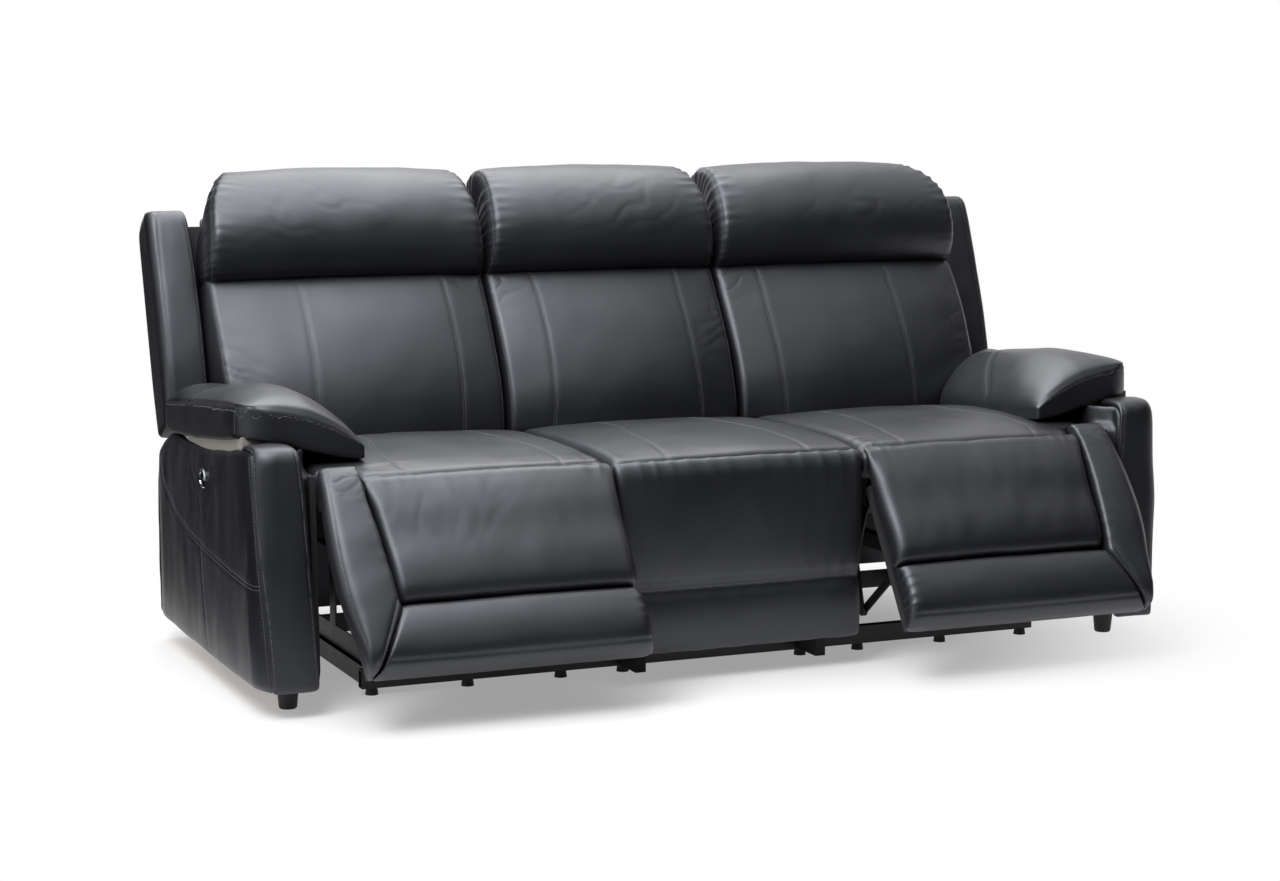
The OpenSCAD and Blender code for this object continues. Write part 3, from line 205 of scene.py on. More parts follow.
# Drawn and zinc-plated steel: bright grey with fine scratches along the wire or bolt
def makeZinc():
    m, tree, shader, place = startMaterial("zincPlatedSteel", {"Metallic": 1.0})
    spangle = addNode(tree, "ShaderNodeTexNoise", {"Scale": 400.0, "Detail": 3.0}, {"Vector": place})
    colourBy(tree, shader, spangle.outputs["Fac"], (0.3, "#8b8f94"), (0.7, "#b4b8bd"),
             {"To Min": 0.28, "To Max": 0.48})
    return m


# Chrome-plated ABS: mirror bright, with the faintest waviness of the moulding under the plate
def makeChrome():
    m, tree, shader, place = startMaterial("chromePlatedAbs", {"Metallic": 1.0})
    haze = addNode(tree, "ShaderNodeTexNoise", {"Scale": 120.0, "Detail": 2.0}, {"Vector": place})
    colourBy(tree, shader, haze.outputs["Fac"], (0.3, "#c9cbd0"), (0.7, "#dcdee2"),
             {"To Min": 0.07, "To Max": 0.16})
    return m


leather = makeLeather()
thread = makeThread()
finishes = {"black_steel": makeCoated(), "black_plastic": makeNylon(), "timber": makeTimber(),
            "chrome": makeChrome(), "spring_steel": makeZinc(), "black_leather": leather,
            "grey_lining": makeLining("Grey", "#77756f", "#a5a29b"),
            "black_lining": makeLining("Black", "#1b1b1d", "#29292c")}
finishes["zinc_steel"] = finishes["spring_steel"]
print("materials made")

# Camera, floor and light
cameraView = dict(at=(-2.425, -5.157, 1.278), turn=23.16, down=7.67, focal=2653 / 1280 * 36)
bpy.ops.object.select_all(action="DESELECT")
bpy.ops.object.camera_add(
    location=(cameraView["at"][0], cameraView["at"][1] + pivotY, cameraView["at"][2]),
    rotation=(math.radians(90 - cameraView["down"]), 0, math.radians(-cameraView["turn"])))
camera = bpy.context.object
camera.name = "photoCamera"
camera.data.sensor_width = 36
camera.data.lens = cameraView["focal"]
camera.data.clip_end = 60
bpy.context.scene.camera = camera
bpy.context.scene.view_settings.view_transform = "Standard"


def seenDirectly(tree):  # 1 for camera, glossy and transmission rays, 0 for the light on the sofa
    rays = addNode(tree, "ShaderNodeLightPath").outputs
    seen = addNode(tree, "ShaderNodeMath", links={0: rays["Is Camera Ray"], 1: rays["Is Glossy Ray"]},
                   operation="ADD")
    seen = addNode(tree, "ShaderNodeMath", links={0: seen.outputs[0], 1: rays["Is Transmission Ray"]},
                   operation="ADD", use_clamp=True)
    return seen.outputs[0]


# The floor is white as seen, less so near the sofa, where it keeps the shadow
floorLook = {"size": 60, "white": 0.34, "from": 0.42, "shift": 0.14, "reach": (1 / 1.75, 1 / 1.35, 1)}


def makeFloor():
    bpy.ops.mesh.primitive_plane_add(size=floorLook["size"], location=(0, 0, 0))
    floor = bpy.context.object
    floor.name = "paleFloor"
    m, tree, shader, place = startMaterial("paintedFloorWhite", {
        "Base Color": toLinear("#f4f4f4"), "Roughness": 0.85, "Specular IOR Level": 0.15})
    far = addNode(tree, "ShaderNodeMapping", {"Location": (floorLook["shift"],
                                                           0, 0), "Scale": floorLook["reach"]},
                  {"Vector": place})
    far = addNode(tree, "ShaderNodeVectorMath", links={0: far.outputs["Vector"]}, operation="LENGTH")
    white = addNode(tree, "ShaderNodeMapRange",
                    {"From Min": floorLook["from"], "From Max": 1.0, "To Min": floorLook["white"]},
                    {"Value": far.outputs["Value"]}, interpolation_type="SMOOTHSTEP")
    part = addNode(tree, "ShaderNodeMath", links={0: seenDirectly(tree), 1: white.outputs["Result"]},
                   operation="MULTIPLY")
    glow = addNode(tree, "ShaderNodeEmission", {"Color": (1, 1, 1, 1), "Strength": 1.0})
    mix = addNode(tree, "ShaderNodeMixShader", links={0: part.outputs[0], 1: shader.outputs[0],
                                                      2: glow.outputs[0]})
    out = next(n for n in tree.nodes if n.type == "OUTPUT_MATERIAL")
    tree.links.new(mix.outputs[0], out.inputs["Surface"])
    floor.data.materials.append(m)


worldLook = dict(ambient=0.17)


def makeWorld():
    world = bpy.data.worlds.new("whiteStudio")
    bpy.context.scene.world = world
    world.use_nodes = True
    tree = world.node_tree
    back = next(n for n in tree.nodes if n.type == "BACKGROUND")
    back.inputs["Color"].default_value = (1, 1, 1, 1)
    level = addNode(tree, "ShaderNodeMapRange", {"To Min": worldLook["ambient"], "To Max": 1.0},
                    {"Value": seenDirectly(tree)})
    tree.links.new(level.outputs["Result"], back.inputs["Strength"])


def makeLamp(look):
    bpy.ops.object.light_add(type="AREA", location=look["at"])
    light = bpy.context.object
    light.name = look["name"]
    light.rotation_euler = (Vector(look["aim"]) - Vector(look["at"])).to_track_quat("-Z", "Y").to_euler()
    light.data.shape = "RECTANGLE"
    light.data.size, light.data.size_y = look["size"]
    light.data.energy = look["watts"]


def makeFlag(look):  # a black cloth screen keeps the fronts deep; a card is seen in reflections only
    bpy.ops.mesh.primitive_plane_add(
        size=1, location=look["at"],
        rotation=(math.radians(look.get("stand", 90)), 0, math.radians(look["turn"])))
    flag = bpy.context.object
    flag.name = look["name"]
    flag.scale = (*look["size"], 1)
    m, tree, shader, place = startMaterial("blackVelvet", {
        "Base Color": toLinear("#0c0c0d"), "Roughness": 0.95, "Specular IOR Level": 0.05})
    flag.data.materials.append(m)
    flag.visible_camera = False
    if look.get("card"):
        flag.visible_diffuse = flag.visible_shadow = flag.visible_transmission = False


makeFloor()
makeWorld()
for look in (dict(name="topSoftbox", at=(-0.4, 0.7, 3.1), aim=(0, 0.45, 0.5), size=(5.2, 2.6), watts=160),
             dict(name="leftSoftbox", at=(-2.5, -1.8, 3.5), aim=(-0.6, -0.1, 0.4), size=(2, 2), watts=114)):
    makeLamp(look)
for look in (dict(name="rearFlag", at=(-1.5, -8.2, 3.6), turn=-14, size=(17, 7)),
             dict(name="rightFlag", at=(6.5, -3.2, 4.0), turn=62, size=(10, 8)),
             dict(name="leftFlag", at=(-3.7, 3.6, 2.4), turn=25, size=(5.2, 5.2)),
             dict(name="sideCard", at=(-3.2, 1.45, 1.2), turn=4, size=(4.0, 2.4), card=True),
             dict(name="sideFloorCard", at=(-2.65, 0.5, 0.02), turn=0, size=(2.9, 2.6), stand=0, card=True),
             dict(name="frontCard", at=(0, -3.3, 0.02), turn=0, size=(9, 4.4), stand=0, card=True)):
    makeFlag(look)
print("camera, floor and light made")


# Padded pieces
def lattice(name, cuts):  # a cube cut into even rows along each of its three edges
    shape = bmesh.new()
    bmesh.ops.create_cube(shape, size=2)
    for axis in range(3):
        along = [e for e in shape.edges if abs((e.verts[1].co - e.verts[0].co)[axis]) > 1e-6]
        bmesh.ops.subdivide_edges(shape, edges=along, cuts=cuts[axis] - 1, use_grid_fill=True)
    mesh = bpy.data.meshes.new(name)
    shape.to_mesh(mesh)
    shape.free()
    o = bpy.data.objects.new(name, mesh)
    bpy.context.collection.objects.link(o)
    return o


def readPoints(o):
    c = np.empty(len(o.data.vertices) * 3)
    o.data.vertices.foreach_get("co", c)
    return c.reshape(-1, 3)


def writePoints(o, c):
    o.data.vertices.foreach_set("co", np.ascontiguousarray(c, dtype=float).ravel())
    o.data.update()


def readNormals(o):
    n = np.empty(len(o.data.vertices) * 3)
    o.data.vertex_normals.foreach_get("vector", n)
    return n.reshape(-1, 3)


def rail(points):  # a smooth line through the points, with its running length
    p = np.array(points, float)
    q = np.vstack([2 * p[0] - p[1], p, 2 * p[-1] - p[-2]])
    line = []
    for a, b, c, d in zip(q[:-3], q[1:-2], q[2:-1], q[3:]):
        t = np.linspace(0, 1, 16, endpoint=False)[:, None]
        line.append(0.5 * (2 * b + (c - a) * t + (2 * a - 5 * b + 4 * c - d) * t ** 2
                           + (3 * b - a - 3 * c + d) * t ** 3))
    line = np.vstack(line + [p[-1:]])
    return line, np.concatenate([[0], np.cumsum(np.linalg.norm(np.diff(line, axis=0), axis=1))])


def onRail(r, f):  # the places at the shares f of the rail's length
    return np.stack([np.interp(f * r[1][-1], r[1], r[0][:, k]) for k in range(r[0].shape[1])], 1)


def evenLine(points, step=10):
    r = rail(points)
    return onRail(r, np.linspace(0, 1, max(2, int(r[1][-1] / step))))


def edgeAt(edge, f):  # a side edge is one number, or pairs of (part of the rail, number)
    if not isinstance(edge, list):
        return np.full(len(f), float(edge))
    r = rail([(p[0] * 1000, p[1]) for p in edge])[0]
    return np.interp(f * 1000, r[:, 0], r[:, 1])


def hem(edge, inset, long):  # a seam line beside a side edge
    return [(x + inset, f * long) for f, x in edge]


def setUv(o, name, pairs):
    layer = o.data.uv_layers.new(name=name)
    corner = np.empty(len(o.data.loops), dtype=np.int32)
    o.data.loops.foreach_get("vertex_index", corner)
    layer.data.foreach_set("uv", np.ascontiguousarray(pairs[corner], dtype=np.float32).ravel())


def getUv(o, name):
    corner = np.empty(len(o.data.loops), dtype=np.int32)
    o.data.loops.foreach_get("vertex_index", corner)
    flat = np.empty(len(corner) * 2, dtype=np.float32)
    o.data.uv_layers[name].data.foreach_get("uv", flat)
    out = np.zeros((len(o.data.vertices), 2))
    out[corner] = flat.reshape(-1, 2)
    return out


def ripple(points, size, seed):  # smooth noise whose bumps have a real size in mm
    total = 0
    for part, share in ((1, 1.0), (2.1, 0.5)):
        p = points / size * part + seed * 7.31 + 100 * part
        cell = np.floor(p).astype(np.int64)
        f = p - cell
        ease = f ** 3 * (f * (f * 6 - 15) + 10)

        def corner(dx, dy):
            h = (cell[:, 0] + dx) * 374761393 + (cell[:, 1] + dy) * 668265263
            h = ((h ^ (h >> 13)) * 1274126177) & 0xFFFFFFFF
            turn = (h ^ (h >> 16)) % 1024 / 1024 * 2 * math.pi
            return np.cos(turn) * (f[:, 0] - dx) + np.sin(turn) * (f[:, 1] - dy)

        low = corner(0, 0) + (corner(1, 0) - corner(0, 0)) * ease[:, 0]
        high = corner(0, 1) + (corner(1, 1) - corner(0, 1)) * ease[:, 0]
        total = total + share * (low + (high - low) * ease[:, 1])
    return total


def lineDistance(points, line):  # distance to a line, and how far along it
    best, along, run = np.full(len(points), 1e9), np.zeros(len(points)), 0
    for a, b in zip(line[:-1], line[1:]):
        d = b - a
        size = np.linalg.norm(d)
        t = np.clip(((points - a) @ d) / size ** 2, 0, 1)
        far = np.linalg.norm(points - a - t[:, None] * d, axis=1)
        closer = far < best
        best[closer], along[closer] = far[closer], (run + t * size)[closer]
        run += size
    return best, along


def choose(o):
    bpy.ops.object.select_all(action="DESELECT")
    o.select_set(True)
    bpy.context.view_layer.objects.active = o


# A sheet gives, for every share across (u) and along (f), the inner and the outer side of the pad in mm
def railSheet(look):
    face, under = rail(look["face"]), rail(look["under"])

    def sheet(u, f):
        xi = 2 * u - 1
        x0, x1 = edgeAt(look["left"], f), edgeAt(look["right"], f)
        x = x0 + (x1 - x0) * u
        a, b = onRail(under, f), onRail(face, f)
        out = b - a
        out /= np.maximum(np.linalg.norm(out, axis=1), 1e-6)[:, None]
        arch = np.sin(math.pi * np.clip(f, 0.001, 0.999)) ** 0.6
        rise = look.get("crown", 0) * (1 - np.abs(xi) ** 2.2) * arch
        if "sag" in look:
            slope = np.gradient(face[0], axis=0)
            slope /= np.linalg.norm(slope, axis=1)[:, None]
            sink = look["sag"] * (1 - xi ** 2) * np.clip(1 - f * 3, 0, 1)
            b = b - onRail((slope, face[1]), f) * sink[:, None]
        b = b + out * rise[:, None]
        return np.column_stack([x, a]), np.column_stack([x, b])
    return sheet, face[1][-1]


# A look holds the sizes in mm, the cuts along each edge of the lattice, the radii where each edge starts and
# ends (round), how far rows gather at the edges (crowd), and the seams and wrinkles. The leather's own
# coordinates, kept on the "hide" map, run across and along the face
def makePad(look, sign=1):
    sheet, long = look["sheet"] if "sheet" in look else railSheet(look)
    wide, thick = look["wide"], look["thick"]
    o = lattice(look["name"], look["cuts"])
    c = readPoints(o)
    for k, crowd in enumerate(look.get("crowd", (0.35, 0.35, 0))):
        c[:, k] += crowd * np.sin(math.pi * c[:, k]) / math.pi
    half = np.array([wide, long, thick]) / 2
    p = c * half
    reach = np.empty_like(p)
    for k, r in enumerate(look["round"]):
        pair = r if isinstance(r, tuple) else (r, r)
        reach[:, k] = np.minimum(np.where(c[:, k] < 0, pair[0], pair[1]), half[k] * 0.98)
    q = np.clip(p, reach - half, half - reach)
    e = (p - q) / reach
    size = np.linalg.norm(e, axis=1)
    e[size > 1e-6] /= np.maximum(1, size[size > 1e-6])[:, None]
    p = (q + e * reach) / half / 2 + 0.5
    u, f, t = p.T
    low, high = sheet(u, f)
    c = (low + (high - low) * t[:, None]) * [sign, 1, 1] / 1000
    c[:, 1] += pivotY
    writePoints(o, c)
    setUv(o, "hide", np.stack([high[:, 0] if "sheet" not in look else u * wide, f * long], 1) / 1000)
    setUv(o, "depth", np.stack([t, u], 1))
    middle = c.mean(axis=0)
    if sum((f.center - Vector(middle)).dot(f.normal) * f.area for f in o.data.polygons) < 0:
        o.data.flip_normals()
    choose(o)
    o.modifiers.new("soften", "SUBSURF").levels = 1
    bpy.ops.object.modifier_apply(modifier="soften")
    finishPad(o, look, sign)
    return o


puffAt = 16  # the leather swells this far from a seam, over this width, in mm
puffWide = 11


def finishPad(o, look, sign):
    grid, held = getUv(o, "hide") * 1000, getUv(o, "depth")
    t = held[:, 0]
    c, n = readPoints(o), readNormals(o)
    place = (c - [0, pivotY, 0]) * [sign, 1, 1] * 1000
    lift = np.zeros(len(c))
    for seam in look.get("seams", []):
        line = evenLine(seam["line"])
        if seam.get("space"):
            far, along = lineDistance(place, line)
            mask = 1.0
        else:
            far, along = lineDistance(grid, line)
            mask = np.clip((t - 0.5) / 0.3, 0, 1)
        lift -= mask * seam.get("deep", 2.5) * np.exp(-(far / seam.get("width", 6)) ** 2)
        lift += mask * seam.get("puff", 0) * np.exp(-((far - puffAt) / puffWide) ** 2)
        for g in seam.get("gathers", []):
            flat = np.stack([along, far * 0.25], 1)
            warp = along / g["pitch"] + 0.55 * ripple(flat, g["pitch"] * 2.2, g["seed"] + sign)
            fold = 1 - 2 * np.abs(np.sin(math.pi * warp)) ** 0.7
            run = rail(seam["line"])[1][-1]
            weight = np.interp(along / run, [p[0] for p in g["where"]], [p[1] for p in g["where"]])
            spread = ripple(np.stack([along, along * 0 + 50], 1), g["pitch"] * 1.3, g["seed"] + 4)
            reach = g["reach"] * (1 + 0.7 * spread)
            fade = np.exp(-(far / np.maximum(8, reach)) ** 1.6)
            lift += g["high"] * fold * fade * weight * np.clip((t - 0.2) / 0.3, 0, 1)
    for w in look.get("wrinkles", []):
        stretch = w.get("stretch", (1, 1))
        turn = math.radians(w.get("turn", 0))
        x = grid[:, 0] * math.cos(turn) + grid[:, 1] * math.sin(turn)
        y = grid[:, 1] * math.cos(turn) - grid[:, 0] * math.sin(turn)
        r = ripple(np.stack([x / stretch[0], y / stretch[1]], 1), w["size"], w["seed"] + sign * 2.5)
        if w.get("sharp"):
            r = -np.clip(1 - np.abs(r) * w["sharp"], 0, 1) ** 1.5
        area = 1.0
        if "where" in w:
            area = sum(np.exp(-((grid[:, 0] - a[0]) / a[2]) ** 2 - ((grid[:, 1] - a[1]) / a[3]) ** 2)
                       for a in w["where"])
        lift += w["high"] * r * area * np.clip((t - 0.1) / 0.4, 0, 1)
    writePoints(o, c + n * lift[:, None] / 1000)
    o.data.shade_smooth()
    o.data.materials.append(leather)
    sewThread(o, look, sign)
    o.data.uv_layers.remove(o.data.uv_layers["depth"])


threadLook = dict(thick=0.0009, long=5.2, pitch=7.2, proud=0.0002)


# Rows of stitches: each is a short thread, pulled into the leather at both ends
def sewThread(o, look, sign):
    points = readPoints(o)
    bvh = BVHTree.FromPolygons([tuple(p) for p in points], [tuple(f.vertices) for f in o.data.polygons])
    grid, held = getUv(o, "hide") * 1000, getUv(o, "depth")
    tree = KDTree(len(points))
    for k in np.where(held[:, 0] > 0.55)[0]:
        tree.insert((grid[k][0], grid[k][1], 0), int(k))
    tree.balance()
    verts, faces = [], []

    def onLeather(p, space):
        if space:
            return bvh.find_nearest(Vector((p[0] * sign / 1000, p[1] / 1000 + pivotY, p[2] / 1000)))[:2]
        near = tree.find_n((p[0], p[1], 0), 4)
        weight = [1 / (n[2] + 0.05) for n in near]
        place = sum((Vector(points[n[1]]) * w for n, w in zip(near, weight)), Vector()) / sum(weight)
        return bvh.find_nearest(place)[:2]

    def addStitch(a, na, b, nb):
        d = b - a
        if not 0.0015 < d.length < 0.012:
            return
        d.normalize()
        up = (na + nb).normalized()
        wide = d.cross(up).normalized()
        start = len(verts)
        for k, r in ((0.0, 0), (0.2, 1), (0.8, 1), (1.0, 0)):
            centre = a.lerp(b, k) + up * (threadLook["proud"] if r else -threadLook["proud"])
            if r:
                verts.extend(centre + (wide * x + up * y) * threadLook["thick"] / 2
                             for x, y in ((1, 0), (0, 1), (-1, 0), (0, -1)))
            else:
                verts.append(centre)
        for m in range(4):
            n = (m + 1) % 4
            faces.append((start, start + 1 + n, start + 1 + m))
            faces.append((start + 1 + m, start + 1 + n, start + 5 + n, start + 5 + m))
            faces.append((start + 9, start + 5 + m, start + 5 + n))

    for seam in look.get("seams", []):
        for gap in seam.get("rows", ()):
            line = evenLine(seam["line"], 3)
            d = np.gradient(line, axis=0)
            d /= np.linalg.norm(d, axis=1)[:, None]
            if seam.get("space"):
                line = line + np.cross(d, seam["space"]) * gap
            else:
                line = line + np.stack([-d[:, 1], d[:, 0]], 1) * gap
            run = np.concatenate([[0], np.cumsum(np.linalg.norm(np.diff(line, axis=0), axis=1))])
            for s in np.arange(4, run[-1] - 4, threadLook["pitch"]):
                ends = []
                for q in (s - threadLook["long"] / 2, s + threadLook["long"] / 2):
                    at = [np.interp(q, run, line[:, k]) for k in range(line.shape[1])]
                    ends.extend(onLeather(at, seam.get("space")))
                addStitch(*ends)
    if not verts:
        return
    mesh = bpy.data.meshes.new(o.name + "Thread")
    mesh.from_pydata([tuple(v) for v in verts], [], faces)
    mesh.materials.append(thread)
    mesh.shade_smooth()
    extra = bpy.data.objects.new(o.name + "Thread", mesh)
    bpy.context.collection.objects.link(extra)
    choose(o)
    extra.select_set(True)
    bpy.ops.object.join()


def dress(o, body, *nodes, padded=0.7):
    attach(o, body)
    if nodes:
        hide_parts(*nodes)


double = (-4, 4)  # two rows of stitches, one on each side of a seam
seatSeam = dict(deep=1.8, width=4.5, rows=double)
edgeSeam = dict(deep=0.8, width=4, rows=(0,))

# Seats
seatLook = dict(
    face=[(556, 446), (553, 470), (538, 484), (490, 490), (380, 494), (270, 496), (150, 496), (60, 493),
          (10, 489), (-16, 484), (-30, 477), (-38, 466), (-42, 452)],
    under=[(552, 430), (546, 410), (500, 403.5), (300, 403.5), (60, 403.5), (20, 405), (0, 409), (-15, 414),
           (-25, 420), (-32, 428), (-38, 440)],
    cuts=(60, 60, 8), thick=84, round=(26, 20, 30), crown=17)
softRipple = dict(size=150, high=2.2, seed=3)


def endSeat(sign):
    side = "left" if sign < 0 else "right"
    inner = dict(seatSeam, line=[(440, 40), (446, 200), (434, 340), (417, 440), (408, 530), (405, 612)])
    outer = dict(seatSeam, line=[(716, 40), (712, 200), (730, 300), (756, 420), (762, 520), (744, 612)])
    front = dict(line=[(301, 602), (400, 612), (593, 617), (740, 614), (850, 598)],
                 deep=3.4, width=8, rows=(-6,), puff=0.8,
                 gathers=[dict(pitch=26, high=0.7, reach=22, seed=4,
                               where=[(0, 1.6), (0.15, 0.3), (0.85, 0.3), (1, 1.6)])])
    seat = dict(seatLook, name=side + "SeatCushion", wide=592, left=301,
                right=[(0, 936), (0.78, 936), (0.84, 880), (0.9, 853), (1, 849)],
                seams=[inner, outer, front],
                wrinkles=[softRipple,
                          dict(size=52, high=1.0, seed=6, where=[(330, 560, 60, 60), (800, 560, 80, 60)]),
                          dict(size=70, high=1.4, seed=7, sharp=5,
                               where=[(330, 540, 50, 90), (640, 60, 260, 50)])])
    dress(makePad(seat, sign), "base", side + "_seat_cushion")
    chaise = dict(restLook, name=side + "ChaisePad", wide=535, left=304,
                  right=[(0, 848), (0.3, 840), (1, 822)],
                  seams=[dict(line=[(304, 17), (400, 12), (593, 12), (740, 12), (848, 18)],
                              deep=0.8, width=5, rows=(3,), puff=0.6,
                              gathers=[dict(pitch=34, high=0.8, reach=34, seed=14,
                                            where=[(0, 1.8), (0.2, 0.4), (0.8, 0.4), (1, 1.8)])])],
                  wrinkles=[dict(size=120, high=2.2, seed=5, stretch=(0.8, 1.5), turn=18),
                            dict(size=130, high=0.9, seed=9, sharp=3.0, stretch=(0.7, 1.5), turn=-28,
                                 where=[(640, 120, 180, 90)]),
                            dict(size=46, high=0.7, seed=12, where=[(304, 60, 30, 70), (840, 150, 40, 150)])])
    dress(makePad(chaise, sign), side + "_footrest", side + "_chaise_pad")


restLook = dict(
    face=[(-18, 482), (-27, 484), (-43, 479), (-61, 464), (-80, 444.5), (-100, 421), onBoard(120, 78),
          onBoard(180, 84), onBoard(224, 83), onBoard(247, 77), onBoard(259, 66), onBoard(263.5, 48)],
    under=[(-18, 474), (-28, 470), (-38, 462), (-47, 451), onBoard(20, 46), onBoard(50, 26)]
    + flatOnBoard(90, 130, 180, 225, 250, 263),
    cuts=(58, 36, 7), thick=60, round=((26, 18), (12, 26), 24), crown=10)
for sign in (-1, 1):
    endSeat(sign)
middleChannel = [(120, 40), (122, 200), (146, 340), (160, 500), (168, 622)]
middleFrontSeam = dict(line=[(-295, 612), (-143, 622), (0, 624), (143, 622), (295, 612)],
                       deep=3.4, width=8, rows=(-6,), puff=0.8)
middleSeat = dict(
    seatLook, name="middleSeatCushion", wide=590, left=-295, right=295,
    seams=[dict(seatSeam, line=[(way * x, along) for x, along in middleChannel]) for way in (-1, 1)]
    + [middleFrontSeam],
    wrinkles=[softRipple, dict(size=52, high=1.0, seed=16, where=[(-270, 560, 40, 60), (270, 560, 40, 60)])])
dress(makePad(middleSeat), "base", "middle_seat_cushion")
print("seats made")

# Footrest trim: the lower pad and the edge strip meet in a mitred, topstitched seam
lowerLook = dict(
    face=boardLine((264.5, 42), (265, 60), (274, 74), (300, 82), (335, 85), (370, 80), (394, 66), (404, 50),
                   (407, 34)),
    under=flatOnBoard(265, 280, 300, 335, 370, 390, 406),
    cuts=(60, 30, 7), thick=62, round=((24, 5), (12, 16), 20), crown=6)
stripLook = dict(
    face=boardLine((-58, 36), (-50, 47), (-20, 62), (40, 73), (120, 82), (220, 86), (300, 85), (360, 82),
                   (394, 68), (405, 46)),
    under=boardLine((-58, 20), (-40, 18), (-8, 26), (10, 20)) + flatOnBoard(120, 260, 405),
    cuts=(18, 64, 7), thick=62, round=((9, 26), (16, 14), 22), crown=4)


def footTrim(sign):
    side = "left" if sign < 0 else "right"
    low = dict(lowerLook, name=side + "LowerPad", wide=560, left=[(0, 304), (0.3, 301), (1, 298)],
               right=[(0, 819), (0.15, 824), (0.85, 886), (1, 898)],
               seams=[dict(line=[(812, 6), (820, 40), (880, 150), (889, 168)], deep=1.6, width=5, rows=(-1,)),
                      dict(line=[(292, 150), (500, 152), (700, 152), (870, 150)], deep=1.2, width=4),
                      dict(line=[(303, 4), (301, 60), (299, 130)], deep=0.2,
                           gathers=[dict(pitch=24, high=1.3, reach=20, seed=24, where=[(0, 1.2), (1, 1)])])],
               wrinkles=[dict(size=130, high=1.8, seed=11, stretch=(1.6, 0.8))])
    dress(makePad(low, sign), side + "_footrest", side + "_footrest_trim")
    strip = dict(stripLook, name=side + "EdgeStrip", wide=95,
                 left=[(0, 850), (0.15, 848), (0.3, 842), (0.5, 832), (0.68, 823), (0.72, 825), (0.96, 889),
                       (1, 898)],
                 right=[(0, 930), (0.08, 935), (0.18, 938), (0.4, 944), (0.6, 940), (0.8, 924), (1, 906)],
                 seams=[dict(line=[(833, 330), (850, 372), (880, 440), (893, 466)],
                             deep=1.6, width=5, rows=(1,)),
                        dict(edgeSeam, line=[(918, 20), (926, 100), (932, 220), (926, 340), (912, 420)]),
                        dict(line=[(850, 0), (846, 100), (836, 220), (830, 320)], deep=0.2,
                             gathers=[dict(pitch=40, high=0.6, reach=18, seed=34,
                                           where=[(0, 1.6), (0.4, 0.8), (1, 1)])])],
                 wrinkles=[dict(size=110, high=1.6, seed=12, stretch=(1.2, 0.9), turn=30),
                           dict(size=50, high=1.3, seed=15, sharp=4, stretch=(1.5, 0.7), turn=20,
                                where=[(890, 50, 50, 50)])])
    dress(makePad(strip, sign), side + "_footrest", side + "_footrest_trim")


for sign in (-1, 1):
    footTrim(sign)
print("footrests made")

# Middle front
frontLook = dict(
    name="middleFront", wide=586, left=-293, right=293, thick=60, cuts=(60, 56, 6),
    round=(24, 12, 24), crown=5,
    face=[(-22, 479), (-32, 482), (-46, 472), (-57, 447), (-61, 400), (-62, 340), (-60, 280), (-56, 240),
          (-50, 214), (-40, 205), (-42, 196), (-50, 176), (-54, 145), (-54, 110), (-50, 80), (-43, 66),
          (-33, 64)],
    under=[(-21, 474), (-24, 466), (-20, 450), (-19, 400), (-19, 340), (-19, 280), (-19, 200), (-19, 110),
           (-19, 66)],
    seams=[dict(line=[(-295, 14), (-143, 9), (0, 9), (143, 9), (295, 14)],
                deep=0.6, width=5, rows=(3,), puff=0.5,
                gathers=[dict(pitch=44, high=1.1, reach=60, seed=44,
                              where=[(0, 1.4), (0.3, 0.8), (0.5, 0.4), (0.7, 0.8), (1, 1.4)])]),
           dict(line=[(-295, 287), (0, 287), (295, 287)], deep=2.5, width=7,
                gathers=[dict(pitch=38, high=0.9, reach=22, seed=45,
                              where=[(0, 1.5), (0.5, 0.4), (1, 1.5)])])],
    wrinkles=[dict(size=120, high=1.8, seed=15, stretch=(0.6, 1.8))])
dress(makePad(frontLook), "base", "middle_front_pad")
print("middle front made")

# Backs
loinLook = dict(
    face=backLine((97, 104), (94, 150), (97, 184), (112, 205), (140, 216), (180, 222), (230, 222), (300, 213),
                  (380, 195), (450, 175), (495, 161), (511, 150), (518, 132)),
    under=flatOnBack(96, 120, 160, 240, 330, 420, 513),
    cuts=(60, 56, 9), thick=170, round=(15, 9, 24), crown=38)
pillowLook = dict(
    face=backLine((506, 126), (508, 154), (524, 184), (560, 208), (602, 217), (642, 214), (682, 200),
                  (718, 177), (748, 147), (770, 110), (782, 70), (778, 42), (752, 22), (712, 14)),
    under=flatOnBack(510, 540, 580, 630, 670)
    + backLine((688, 46), (694, 44), (696, 36), (697, 26), (698, 14)),
    cuts=(62, 52, 9), thick=140, round=(26, 9, 30), crown=14, sag=5)


def channel(x, bow):  # a sewn line up the back, bowed to one side
    return [(x + bow, 120), (x + bow * 0.3, 240), (x, 360), (x + bow * 0.2, 470), (x + bow * 0.6, 566)]


def folds(seed):  # large and small gathers at a pillow's end
    return [dict(pitch=29, high=2.3, reach=38, seed=seed,
                 where=[(0, 0.1), (0.3, 0.3), (0.5, 1.0), (0.68, 1.1), (0.85, 0.7), (1, 0.4)]),
            dict(pitch=19, high=0.7, reach=26, seed=seed + 3,
                 where=[(0, 0.5), (0.25, 1.1), (0.5, 1), (1, 0.5)])]


